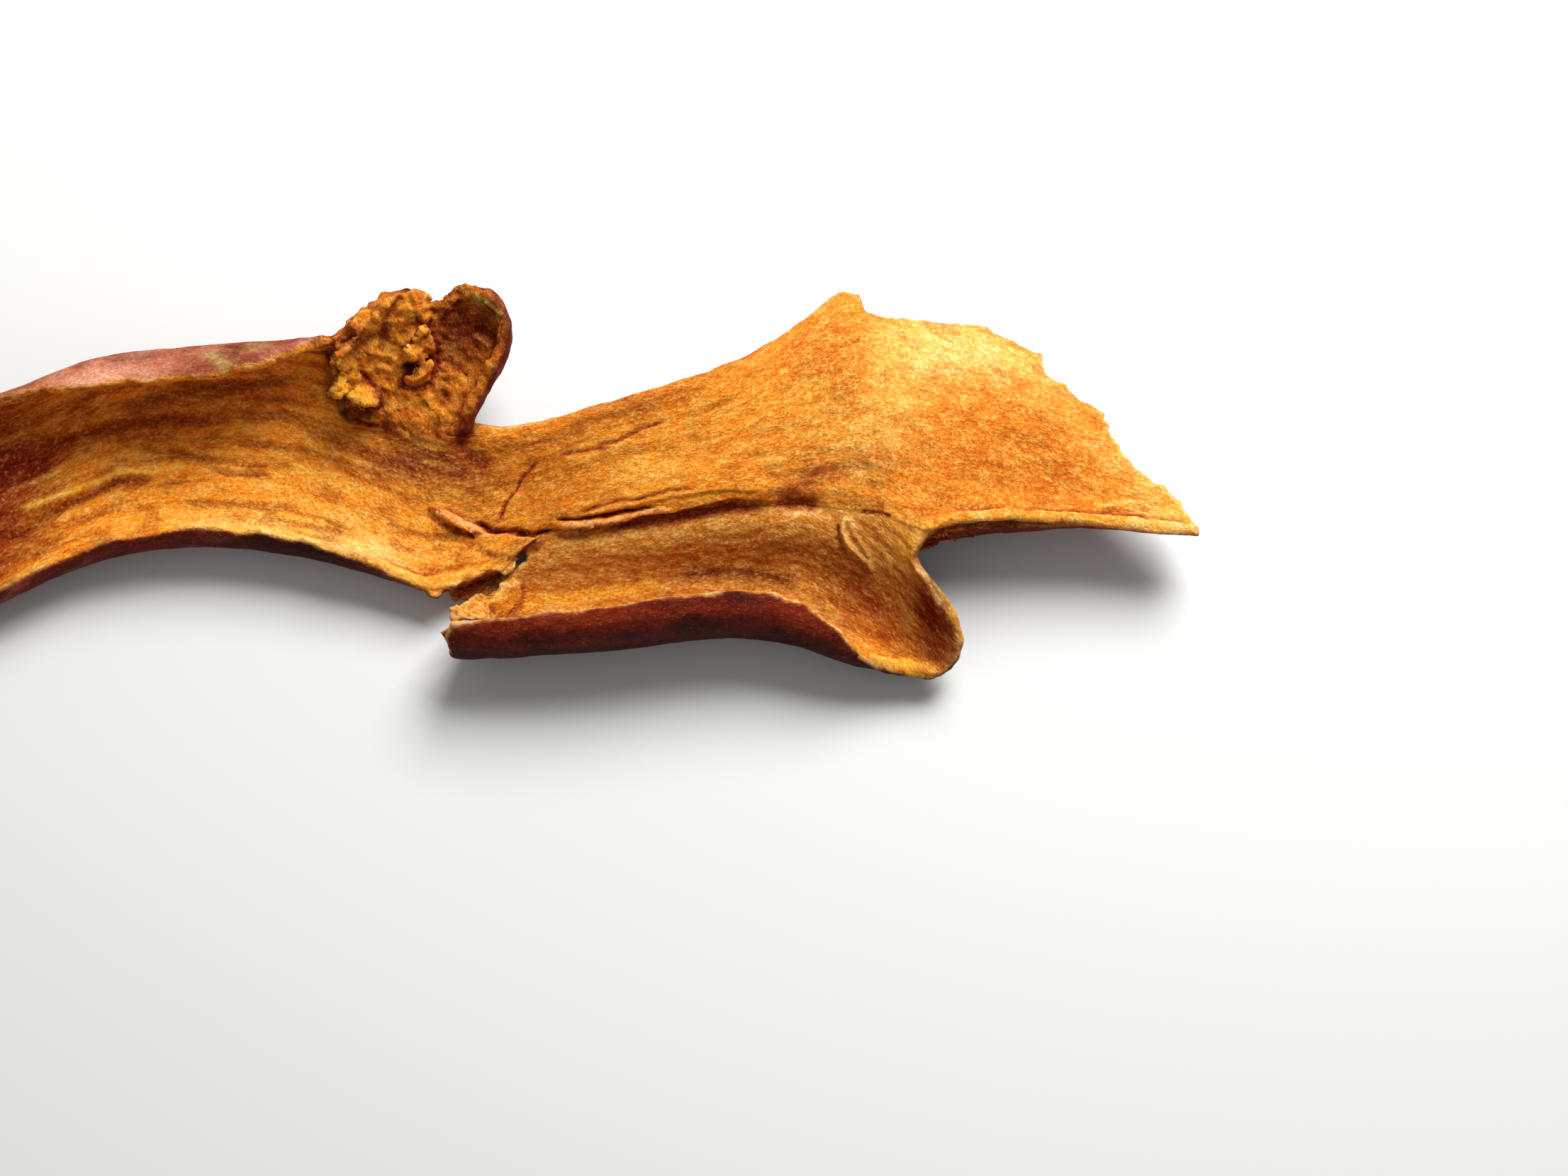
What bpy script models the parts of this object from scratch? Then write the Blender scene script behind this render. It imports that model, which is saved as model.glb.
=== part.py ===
"""A dried drynaria rhizome: one curled, torn strip of cortex with a broken branch stub.

The strip grew in one piece. Its inner face is a spongy orange and its outer face a red-brown skin.
It is drawn in millimetres, +X along the strip, +Y towards the branch stub and +Z up, lying as it
rests with its inner face up, and is moved at the end so that the middle of its base is the origin.
"""

import bmesh
import bpy
from mathutils import Vector, noise
from mathutils.geometry import intersect_point_line

MM = 0.001
SEED = 7
# Walls of the cortex, and of the stub from its crumbled side to its smooth side.
WALL = 1.25
CRUMB_WALL = 2.2
STUB_WALL = 1.3
# The share of the wall that is left at rims and torn edges, and how far inland of a tear the wall is full.
RIM_WALL_SHARE = 0.6
TORN_TAPER = 3.0
# Lengthwise ridges: how many cross a section, how long they run and the share of the wall they take up.
RIDGES_ACROSS = 12
RIDGE_LENGTH = 14.0
RIDGE_HEIGHT_SHARE = 0.14
# How far a torn edge wanders and how coarsely, within this share of the shortest mesh edge beside it.
TEAR_DEPTH = 0.6
TEAR_PITCH = 1.3
TEAR_SHARE = 0.8
# How far the stub's crumbled flesh wanders and how coarsely.
CRUMB_DEPTH = 0.6
CRUMB_PITCH = 1.8
# How the mesh is made: cage points closer than this are one point, and slivers up to this size are welded.
SHARED_POINT = 0.01
SLIVER = 0.04
SMOOTHING_LEVELS = 2
TRIANGLE_SHARE = 0.47
CUTTER_REACH = 30.0
# Where the origin of the finished part lies on the plan.
PLAN_MIDDLE = (-20.6, 9.34)

# The bay where the lower fold parts from the fan.
CORNER = (11.3, 4.2, 6.8)
# Sections of the strip from its lower edge to its upper edge: x, then y and z of each point.
STRIP_SECTIONS = (
    (-77, ((-4.6, 4.0), (-4.8, 2.4), (-2.6, 1.2), (0.6, 0.8), (4.0, 1.0),
        (7.6, 2.2), (10.0, 3.8), (11.4, 5.6), (12.0, 7.2))),
    (-70, ((-3.0, 4.6), (-3.4, 2.6), (-0.8, 1.0), (2.6, 0.5), (6.4, 0.6),
        (10.2, 1.8), (12.6, 3.8), (13.6, 5.8), (13.8, 7.4))),
    (-64, ((0.4, 4.9), (-0.4, 2.8), (2.4, 0.8), (5.8, 0.35), (9.6, 0.6),
        (12.8, 1.8), (15.2, 4.2), (15.9, 6.4), (15.4, 7.8))),
    (-58, ((3.6, 5.0), (2.6, 2.8), (4.8, 0.8), (8.2, 0.25), (11.8, 0.35),
        (15.4, 1.6), (18.9, 4.0), (18.9, 7.4), (15.8, 8.4))),
    (-50, ((5.3, 5.4), (3.9, 2.8), (6.0, 0.8), (9.4, 0.15), (13.0, 0.35),
        (16.2, 1.6), (19.7, 4.2), (19.7, 7.8), (16.6, 8.8))),
    (-43, ((4.7, 5.2), (3.3, 2.8), (5.4, 0.8), (9.0, 0.2), (12.8, 0.5),
        (16.2, 1.8), (19.9, 4.4), (20.0, 8.0), (17.0, 8.9))),
    (-38.5, ((3.7, 5.0), (2.4, 2.6), (4.4, 0.9), (8.0, 0.4), (11.8, 0.8),
        (15.6, 2.0), (19.3, 4.2), (20.9, 6.8), (20.2, 9.0))),
    (-35, ((2.6, 4.6), (1.5, 2.4), (3.4, 1.0), (6.8, 0.7), (10.2, 1.1),
        (13.8, 2.0), (16.8, 3.4), (19.0, 5.0), (20.2, 6.6))),
    (-31.5, ((1.2, 4.0), (0.6, 2.4), (2.4, 1.3), (5.4, 1.2), (8.6, 1.5),
        (11.6, 2.1), (14.4, 2.9), (16.6, 3.7), (18.2, 4.3))),
    (-28.5, ((-0.6, 3.4), (0.2, 2.5), (2.2, 1.8), (4.8, 1.7), (7.4, 2.0),
        (9.8, 2.5), (12.0, 3.0), (13.8, 3.5), (15.2, 3.9))),
    (-25.5, ((1.0, 2.6), (2.2, 2.5), (3.9, 2.4), (5.6, 2.4), (7.6, 2.6),
        (9.4, 3.0), (11.2, 3.5), (12.6, 4.0), (13.6, 4.4))),
    (-22.5, ((2.7, 2.8), (3.9, 2.8), (5.4, 2.9), (6.8, 3.0), (8.4, 3.2),
        (10.0, 3.6), (11.6, 4.1), (12.8, 4.6), (13.5, 4.4))),
    (-19.5, ((4.9, 3.2), (5.7, 4.2), (7.0, 4.2), (8.4, 4.1), (9.8, 4.2),
        (11.2, 4.5), (12.4, 4.9), (13.4, 5.0), (13.9, 4.5))),
    (-16.5, ((5.2, 3.4), (6.2, 4.6), (7.6, 4.6), (9.1, 4.5), (10.6, 4.6),
        (12.1, 4.8), (13.3, 5.2), (14.3, 5.2), (14.7, 4.6))),
    (-12, ((5.7, 3.6), (6.8, 4.9), (8.4, 5.1), (10.1, 5.0), (11.8, 5.1),
        (13.4, 5.3), (14.7, 5.6), (15.6, 5.6), (16.0, 4.9))),
    (-5, ((6.6, 3.8), (7.8, 5.2), (9.6, 5.5), (11.4, 5.5), (13.2, 5.6),
        (15.0, 5.8), (16.4, 6.0), (17.5, 5.9), (18.1, 5.2))),
    (1, ((6.8, 3.9), (8.4, 5.2), (10.6, 5.8), (12.8, 5.9), (15.0, 6.0),
        (17.0, 6.0), (19.0, 5.8), (20.6, 5.4), (21.6, 4.6))),
    (5.2, ((6.4, 4.4), (8.2, 5.4), (11.0, 6.0), (13.8, 6.2), (16.6, 6.1),
        (19.4, 5.6), (22.2, 4.8), (25.0, 3.8), (27.6, 2.6))),
    (8.5, ((5.6, 5.4), (7.6, 5.9), (10.4, 6.2), (13.2, 6.2), (15.8, 5.9),
        (18.2, 5.3), (20.4, 4.4), (22.4, 3.3), (24.6, 2.0))),
    (11.3, ((4.2, 6.8), (6.2, 5.8), (8.8, 5.8), (11.6, 5.9), (14.4, 5.6),
        (17.0, 4.9), (19.4, 3.8), (21.6, 2.4), (24.0, 0.8))),
    (16, ((5.7, 7.6), (5.2, 5.4), (7.8, 5.2), (10.8, 5.3), (13.8, 5.1),
        (16.6, 4.4), (19.2, 3.1), (21.6, 1.4), (24.2, -0.3))),
    (21, ((5.7, 7.2), (5.1, 5.2), (7.4, 4.9), (10.2, 4.9), (12.8, 4.6),
        (15.4, 3.9), (17.8, 2.7), (20.0, 1.2), (22.4, -0.3))),
    (26.5, ((5.3, 6.8), (4.8, 5.2), (6.6, 4.8), (8.8, 4.7), (10.8, 4.4),
        (12.8, 3.8), (14.6, 2.9), (16.4, 1.8), (18.2, 0.6))),
    (31, ((4.7, 6.4), (4.6, 5.3), (6.0, 4.8), (7.6, 4.6), (9.3, 4.2),
        (11.0, 3.6), (12.7, 2.9), (14.4, 2.1), (16.0, 1.2))),
    (36.5, ((4.2, 6.2), (4.3, 5.3), (5.6, 4.7), (7.0, 4.4), (8.4, 4.0),
        (9.8, 3.5), (11.2, 2.9), (12.6, 2.2), (14.0, 1.4))),
)
# Sections of the lower fold, from its curled rim to the crease where it joins the strip.
FOLD_SECTIONS = (
    ((-27.8, -3.2, 7.2), (-27.8, -4.9, 6.6), (-27.5, -5.8, 4.2), (-26.8, -4.4, 1.0),
     (-25.4, -1.4, 0.5), (-23.9, 0.5, 1.5), (-21.8, 2.4, 2.6), (-19.5, 4.9, 3.2)),
    ((-21.2, -3.0, 7.8), (-21.2, -4.7, 7.7), (-21.2, -5.6, 4.8), (-20.8, -4.8, 1.3),
     (-20.0, -2.0, 0.0), (-18.8, 1.2, 1.1), (-17.4, 3.8, 3.2), (-16.5, 5.2, 3.4)),
    ((-13, -2.2, 8.1), (-13, -4.0, 8.1), (-13, -5.0, 5.0), (-13, -4.4, 1.3),
     (-13, -1.6, 0.0), (-12.8, 1.8, 1.0), (-12.4, 4.4, 3.6), (-12, 5.7, 3.6)),
    ((-5.2, -0.6, 8.1), (-5.4, -2.4, 8.1), (-5.6, -3.8, 5.2), (-5.6, -3.2, 1.5),
     (-5.4, -0.4, 0.2), (-5.2, 2.6, 1.2), (-5, 5.2, 4.0), (-5, 6.6, 3.8)),
    ((0.8, -1.2, 7.4), (0.2, -2.8, 7.4), (-0.4, -4.2, 4.9), (-0.2, -3.4, 1.5),
     (0.2, -0.6, 0.4), (0.6, 2.4, 1.6), (0.9, 5.2, 4.2), (1, 6.8, 3.9)),
    ((4.0, -3.2, 6.2), (3.2, -4.4, 6.1), (2.7, -5.4, 4.2), (3.2, -4.4, 1.7),
     (4.2, -2.0, 0.8), (4.8, 1.2, 1.8), (5.2, 4.4, 4.2), (5.2, 6.4, 4.4)),
    ((6.2, -5.4, 4.8), (5.6, -6.0, 4.4), (5.6, -6.2, 3.0), (6.4, -5.2, 1.4),
     (7.4, -3.2, 0.9), (7.9, -0.4, 2.0), (8.3, 2.8, 4.6), (8.5, 5.6, 5.4)),
    ((8.6, -6.6, 3.6), (8.6, -6.4, 2.4), (9.2, -5.8, 1.4), (9.8, -4.8, 1.0),
     (10.4, -3.0, 1.3), (10.9, -0.8, 3.2), (11.2, 1.8, 5.6), CORNER),
    ((10.6, -7.0, 3.0), (11.0, -6.6, 2.2), (11.5, -6.0, 1.7), (12.0, -5.2, 1.6),
     (12.5, -4.1, 2.2), (12.8, -2.8, 3.6), (12.7, -1.2, 5.2), (12.0, 0.2, 6.5)),
    ((12.4, -7.3, 2.8), (13.2, -7.0, 2.7), (13.9, -6.5, 3.0), (14.4, -5.9, 3.4),
     (14.7, -5.1, 4.0), (14.6, -4.1, 4.8), (14.1, -3.0, 5.5), (13.3, -1.8, 6.1)),
)
# Rows of the branch stub, a cup open towards the inner face, from its root to its broken mouth.
STUB_ROWS = (
    ((-37.2, 15.4, 3.4), (-35.0, 14.6, 3.0), (-32.8, 13.8, 2.8), (-30.8, 13.0, 2.8),
     (-28.9, 12.3, 3.0), (-27.5, 12.2, 3.6), (-27.0, 12.6, 5.0)),
    ((-37.8, 17.8, 6.2), (-35.2, 17.3, 4.8), (-32.6, 16.6, 4.0), (-30.2, 15.9, 3.7),
     (-28.0, 15.3, 3.9), (-26.1, 14.9, 5.0), (-25.7, 15.3, 7.0)),
    ((-37.6, 19.8, 8.0), (-35.0, 19.6, 6.6), (-32.2, 19.2, 5.4), (-29.4, 18.6, 4.4),
     (-26.4, 18.1, 4.6), (-23.7, 17.5, 6.2), (-23.7, 18.1, 8.6)),
    ((-36.0, 20.9, 9.0), (-33.8, 21.4, 8.2), (-31.4, 21.4, 7.0), (-29.0, 20.9, 5.2),
     (-25.7, 20.7, 5.4), (-22.3, 20.2, 7.4), (-22.9, 20.7, 9.6)),
    ((-34.6, 22.1, 9.5), (-32.8, 22.9, 9.2), (-30.8, 23.2, 8.6), (-28.8, 22.2, 6.4),
     (-26.0, 22.8, 6.8), (-22.8, 22.4, 8.8), (-23.5, 22.2, 10.2)),
    ((-33.6, 23.2, 9.7), (-32.0, 24.0, 9.6), (-30.2, 24.5, 9.3), (-28.6, 22.8, 7.6),
     (-26.2, 24.5, 8.6), (-24.4, 23.8, 9.5), (-24.6, 23.2, 10.3)),
)
# Plan outlines of what is broken away: beyond the fan's torn edge, beyond the strip's left end, and the
# notch in the stub.
BEYOND_FAN = (
    (-2.0, 30.0), (1.5, 22.7), (3.6, 24.8), (5.1, 26.1), (6.3, 25.1), (6.9, 23.8), (8.3, 23.5),
    (12.2, 23.9), (14.7, 23.7), (17.4, 23.7), (18.8, 22.6), (20.2, 21.6), (22.3, 20.9), (22.2, 18.9),
    (23.7, 17.9), (25.1, 16.3), (26.8, 15.5), (27.0, 13.6), (28.3, 11.3), (29.7, 9.6), (32.0, 8.2),
    (33.6, 6.0), (34.4, 3.9), (34.0, 0.0), (44.0, 0.0), (44.0, 30.0),
)
BEYOND_LEFT_END = (
    (-80.0, 30.0), (-76.0, 14.0), (-74.6, 11.0), (-75.6, 8.0), (-74.2, 6.2), (-74.8, 3.0), (-73.0, 0.6),
    (-73.6, -2.6), (-72.4, -5.0), (-74.0, -12.0), (-90.0, -12.0), (-90.0, 30.0),
)
NOTCH = (
    (-30.4, 27.0), (-29.6, 23.8), (-29.7, 22.8), (-29.0, 21.9), (-28.5, 22.6), (-27.9, 23.6), (-27.6, 27.0),
)


def clear_scene():
    for obj in list(bpy.data.objects):
        bpy.data.objects.remove(obj)


def new_collection(name):
    collection = bpy.data.collections.new(name)
    bpy.context.scene.collection.children.link(collection)
    return collection


def mesh_object(name, bm, collection):
    mesh = bpy.data.meshes.new(name)
    bm.to_mesh(mesh)
    bm.free()
    obj = bpy.data.objects.new(name, mesh)
    collection.objects.link(obj)
    return obj


def settle(obj):
    """Applies an object's modifiers."""
    graph = bpy.context.evaluated_depsgraph_get()
    evaluated = obj.evaluated_get(graph)
    mesh = bpy.data.meshes.new_from_object(evaluated, preserve_all_data_layers=True, depsgraph=graph)
    obj.modifiers.clear()
    obj.data = mesh


def cage(name, grids, collection):
    """An open cage of grids of points, joined where they share points.

    Each point keeps its place across its section.
    """
    bm = bmesh.new()
    across = bm.verts.layers.deform.verify()
    for rows in grids:
        verts = [[bm.verts.new(Vector(point) * MM) for point in row] for row in rows]
        for row in verts:
            for k, vert in enumerate(row):
                vert[across][0] = k / (len(row) - 1)
        for low, high in zip(verts, verts[1:]):
            for k in range(len(low) - 1):
                bm.faces.new((low[k], high[k], high[k + 1], low[k + 1]))
    bmesh.ops.remove_doubles(bm, verts=bm.verts, dist=SHARED_POINT * MM)
    obj = mesh_object(name, bm, collection)
    obj.vertex_groups.new(name="across")
    return obj


def smooth(obj):
    modifier = obj.modifiers.new("smooth", "SUBSURF")
    modifier.levels = modifier.render_levels = SMOOTHING_LEVELS
    settle(obj)


def tear_edges(obj):
    """Wanders the open edge within the sheet, as a tear does, so that the two sides of a tear still match."""
    bm = bmesh.new()
    bm.from_mesh(obj.data)
    moves = {}
    for vert in bm.verts:
        if vert.is_boundary:
            reach = min(TEAR_DEPTH * MM, TEAR_SHARE * min(edge.calc_length() for edge in vert.link_edges))
            wander = reach * noise.noise_vector(vert.co / (TEAR_PITCH * MM))
            moves[vert] = wander - wander.project(vert.normal)
    for vert, move in moves.items():
        vert.co += move
    bm.to_mesh(obj.data)
    bm.free()


def across_sections(mesh):
    """How far across its section each point lies, from 0 to 1."""
    return [v.groups[0].weight if v.groups else 0.0 for v in mesh.vertices]


def plan_distance(co, outline):
    """How far a point lies from an outline on the plan, in millimetres."""
    point = co.xy / MM
    reached = []
    for start, end in zip(outline, outline[1:]):
        foot, share = intersect_point_line(point, Vector(start), Vector(end))
        foot = Vector(start).lerp(Vector(end), min(max(share, 0.0), 1.0))
        reached.append((foot - point).length)
    return min(reached)


def thicken(obj, wall, far_wall):
    """Gives the sheet its wall, thin at the rims and torn edges and thicker along lengthwise ridges.

    The wall goes evenly from one size at the start of each section to the other at its end.
    """
    mesh = obj.data
    bm = bmesh.new()
    bm.from_mesh(mesh)
    rims = [v.is_boundary for v in bm.verts]
    bm.free()
    thickest = max(wall, far_wall)
    group = obj.vertex_groups.new(name="wall")
    for vert, across, rim in zip(mesh.vertices, across_sections(mesh), rims):
        ridges = noise.noise(Vector((vert.co.x / (RIDGE_LENGTH * MM), RIDGES_ACROSS * across, 0)))
        torn = min(plan_distance(vert.co, outline) for outline in (BEYOND_FAN, BEYOND_LEFT_END))
        inland = 0 if rim else min(torn / TORN_TAPER, 1)
        share = RIM_WALL_SHARE + (1 - RIM_WALL_SHARE - RIDGE_HEIGHT_SHARE * (1 - ridges)) * inland
        size = wall + (far_wall - wall) * across
        group.add([vert.index], share * size / thickest, "REPLACE")
    modifier = obj.modifiers.new("wall", "SOLIDIFY")
    modifier.thickness = thickest * MM
    modifier.offset = 0
    modifier.vertex_group = group.name
    settle(obj)


def crumble(obj):
    """Breaks up the surface of the stub's spongy flesh, most at the start of each section."""
    for vert, across in zip(obj.data.vertices, across_sections(obj.data)):
        lump = noise.noise_vector(vert.co / (CRUMB_PITCH * MM))
        vert.co += lump * CRUMB_DEPTH * MM * (1 - across)


def cutter(name, outline, collection):
    """A prism over a plan outline, to cut away what is inside it."""
    bm = bmesh.new()
    face = bm.faces.new([bm.verts.new(Vector((x, y, -CUTTER_REACH)) * MM) for x, y in outline])
    raised = bmesh.ops.extrude_face_region(bm, geom=[face])["geom"]
    lifted = [v for v in raised if isinstance(v, bmesh.types.BMVert)]
    bmesh.ops.translate(bm, verts=lifted, vec=Vector((0, 0, 2 * CUTTER_REACH * MM)))
    bmesh.ops.recalc_face_normals(bm, faces=bm.faces)
    obj = mesh_object(name, bm, collection)
    obj.hide_render = True
    obj.display_type = "WIRE"
    return obj


def boolean(obj, operation, other):
    modifier = obj.modifiers.new(other.name, "BOOLEAN")
    modifier.operation = operation
    modifier.object = other
    settle(obj)


def lighten(obj):
    """Welds the slivers that the cuts leave and thins out the triangles of flat stretches."""
    weld = obj.modifiers.new("weld", "WELD")
    weld.merge_threshold = SLIVER * MM
    fewer = obj.modifiers.new("fewer", "DECIMATE")
    fewer.ratio = TRIANGLE_SHARE
    settle(obj)


def rest(obj):
    """Flattens what would reach below the surface it rests on, and puts its middle over the origin."""
    middle = Vector(PLAN_MIDDLE) * MM
    for vert in obj.data.vertices:
        vert.co.z = max(vert.co.z, 0.0)
        vert.co.xy -= middle


def cortex_material():
    material = bpy.data.materials.new("dried cortex")
    material.use_nodes = True
    shader = material.node_tree.nodes["Principled BSDF"]
    shader.inputs["Base Color"].default_value = (0.52, 0.22, 0.05, 1)
    shader.inputs["Roughness"].default_value = 0.85
    shader.inputs["Metallic"].default_value = 0.0
    return material


def build():
    clear_scene()
    noise.seed_set(SEED)
    parts = new_collection("drynaria_rhizome")
    cutters = new_collection("cutters")
    strip_rows = [[(x, y, z) for y, z in points] for x, points in STRIP_SECTIONS]
    rhizome = cage("rhizome", (strip_rows, FOLD_SECTIONS), parts)
    smooth(rhizome)
    tear_edges(rhizome)
    thicken(rhizome, WALL, WALL)
    stub = cage("stub", (STUB_ROWS,), cutters)
    smooth(stub)
    tear_edges(stub)
    thicken(stub, CRUMB_WALL, STUB_WALL)
    crumble(stub)
    stub.hide_render = True
    stub.display_type = "WIRE"
    boolean(rhizome, "UNION", stub)
    broken_away = {"beyond_fan": BEYOND_FAN, "beyond_left_end": BEYOND_LEFT_END, "notch": NOTCH}
    for name, outline in broken_away.items():
        boolean(rhizome, "DIFFERENCE", cutter(name, outline, cutters))
    lighten(rhizome)
    rest(rhizome)
    rhizome.data.materials.clear()
    rhizome.data.materials.append(cortex_material())


build()
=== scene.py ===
"""The looks of a dried drynaria rhizome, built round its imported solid.

Sizes and places are in millimetres. The plan is the solid's own frame moved by PLAN_MIDDLE. The photo plane
is the level plane at PLANE_HEIGHT as the photograph's camera sees it, with the picture's middle as its
origin. A mark that is placed on the photo plane lies on the surface behind that point.
"""
import math

import bmesh
import bpy
import numpy as np
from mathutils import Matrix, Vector, noise
from mathutils.bvhtree import BVHTree
from mathutils.kdtree import KDTree


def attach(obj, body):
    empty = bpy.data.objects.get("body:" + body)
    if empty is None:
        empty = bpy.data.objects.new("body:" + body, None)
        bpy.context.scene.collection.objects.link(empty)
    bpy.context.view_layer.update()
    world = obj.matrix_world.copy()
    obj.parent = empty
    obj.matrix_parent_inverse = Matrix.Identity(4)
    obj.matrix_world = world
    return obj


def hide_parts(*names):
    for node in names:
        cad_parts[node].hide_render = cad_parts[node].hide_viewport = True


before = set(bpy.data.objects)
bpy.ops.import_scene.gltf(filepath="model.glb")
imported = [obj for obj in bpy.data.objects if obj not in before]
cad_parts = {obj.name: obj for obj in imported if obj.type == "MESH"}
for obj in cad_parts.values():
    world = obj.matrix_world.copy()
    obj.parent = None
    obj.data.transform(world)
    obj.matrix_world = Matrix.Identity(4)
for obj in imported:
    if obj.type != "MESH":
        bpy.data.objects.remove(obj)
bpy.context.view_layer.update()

MM = 0.001
PLAN_MIDDLE = np.array((-20.6, 9.34, 0.0))
PLANE_HEIGHT = 4.0
# The photograph's camera: how much of the photo plane's width it sees, and where it stands.
PHOTO_SPAN = 130.0
CAMERA_DISTANCE = 200.0
CAMERA_ELEVATION = math.radians(80)
SENSOR = 36.0
CLIP_START = 10.0
CAMERA = np.array((
    0.0,
    -CAMERA_DISTANCE * math.cos(CAMERA_ELEVATION),
    PLANE_HEIGHT + CAMERA_DISTANCE * math.sin(CAMERA_ELEVATION),
))

# The fine mesh: how close points are joined, the cells of its two remeshings, the rounds of smoothing after
# each, how far a round pulls in and pushes out, and how many triangles are left at the end.
WELD = 0.001
FIRST_CELL = 0.22
CELL = 0.17
FACET_ROUNDS = 10
SCRAP_ROUNDS = 2
PULLS = (0.55, -0.57)
TRIANGLES = 196000
# How strongly the decimation spares the seen side: with 1e-6 it keeps three points in four there. Rims are
# spared by this share of that, and the fineness is told in so many levels.
FINE_PULL = 7e-7
RIM_FINENESS = 0.7
FINE_LEVELS = 10
# How many rounds are spread over the neighbours: the line between flesh and skin, the stub's border, the
# mean place that a rim stands out of, and the mean relief that a point's fall is measured from.
SKIN_DEPTH_ROUNDS = 2
STUB_ROUNDS = 10
RIM_ROUNDS = 28
FALL_ROUNDS = 12
# The share of the wall that a mark may cut away on the inner face and on the outer one, the thickest wall
# looked for, and how far under the surface the look starts.
CARVED_INNER = 0.5
CARVED_OUTER = 0.2
MOST_WALL = 3.0
LOOK_START = 0.02
# Where each share starts and is full: flesh by how squarely a point looks at the line above its hollow, rim
# and hollow by how far it bulges out or in, the next two by its distance from the mean place, the open side
# by how squarely it faces the camera, and the stub's crumbs by the share of flesh.
FLESH_LOOKS = (-0.12, 0.12)
RIM_BULGE = (0.05, 0.11)
HOLLOW_BULGE = (0.02, 0.08)
NEAR_RIM = (0.07, 0.11)
EDGE_LINE = (0.1, 0.145)
OPEN_SIDE = (0.0, 0.15)
CRUMBS = (0.1, 0.6)

# Lines above the hollow of each region, that its inner face looks at.
STRIP_AXIS = (
    (-77, 5, 7), (-70, 6.5, 7), (-64, 8.5, 7), (-58, 11, 7), (-50, 11.5, 7), (-43, 11.5, 7), (-36, 10.5, 9),
    (-30, 9, 12), (-22, 8, 16), (-10, 10, 20), (5, 14, 26), (20, 14, 26), (37, 8, 20))
FOLD_AXIS = (
    (-29, -1.5, 5.5), (-21, -1.2, 5.5), (-13, -0.4, 5.5), (-5, 1, 5.5), (1, 1.2, 5.5), (5, 0, 5),
    (9, -2.5, 5), (12, -5, 5.5), (13, -9, 7))
STUB_AXIS = ((-36, 18, 13), (-32, 19, 13), (-28.5, 20, 10.5), (-27, 22, 10.5))
# Plan outline of the fold, above by the crease and the tear, and of the stub.
FOLD_OUTLINE = (
    (-32, -3), (-28.6, -2), (-25.5, 0.2), (-23, 2), (-20, 4.6), (-16.5, 5.2), (-12, 5.7), (-5, 6.6),
    (1, 6.8), (5.2, 6.4), (8.5, 5.6), (11.3, 4.3), (16, 4.2), (16, -12), (-32, -12))
STUB_OUTLINE = (
    (-38.3, 17.5), (-37, 14.6), (-33, 13.2), (-26.6, 12.6), (-21.5, 19), (-21.5, 28), (-38.3, 28))
# The stub's flesh has no grain: its lengths along the grain are drawn out by this from its middle.
STUB_MIDDLE = -31
STUB_STRETCH = 1.3
# The strip's edges and the fold's middle on the plan, which the grain follows.
LOWER_EDGE = (
    (-77, -4.6), (-70, -3.2), (-64, 0), (-58, 3), (-50, 4.5), (-43, 3.9), (-35, 2), (-28.5, 0.3),
    (-22.5, 2.9), (-16.5, 5.3), (-5, 6.7), (5, 6.4), (11, 5.2), (16, 5.2), (26, 5), (36.5, 4.2))
UPPER_EDGE = (
    (-77, 12), (-70, 14), (-64, 16.4), (-58, 19), (-50, 20), (-41, 20), (-35, 17.5), (-28.5, 14.8),
    (-22.5, 13.9), (-16.5, 14.9), (-5, 18.6), (2, 23), (9, 26), (18, 25), (28, 20), (36.5, 15))
# Where the strip is wider than this, its grain is coarser, by this power of its width.
USUAL_WIDTH = 15.0
WIDTH_POWER = 0.7
FOLD_MIDDLE = ((-29, -1.5), (-13, -0.2), (-5, 1), (1, 1), (5, -0.6), (9, -3.4), (12, -6.5), (16, -11))
# Plan lines along the torn edges.
TORN_EDGES = (
    ((5, 26.5), (7, 24.2), (17.5, 23.7), (22.3, 20), (27, 14.5), (32, 8.2), (34.5, 5.5)),
    ((-27.8, -3.2), (-26, -2), (-23.9, 0.5), (-21.8, 2.4), (-19.5, 4.9)),
    ((-29.5, -0.8), (-28.5, -0.4), (-25.5, 1), (-22.5, 2.7)),
    ((-37, 20), (-34.6, 22.1), (-33.6, 23.2), (-30.2, 24.5), (-29.6, 23.4)),
    ((-75.6, -6), (-75.6, 13)),
)
TORN_REACH = 1.3
# How far the torn edges and the other rims wander, and the noise of each: lumps' size, octaves and shift.
TORN_WANDER = 0.45
TORN_NOISE = ((1.8, 1.3, 1.3), 4, 12.5)
RIM_WANDER = 0.12
RIM_NOISE = ((2.2, 1.5, 1.5), 2, 6.1)
# The least distance that still gives a rim its direction.
LEAST_WAY = 0.03

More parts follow.
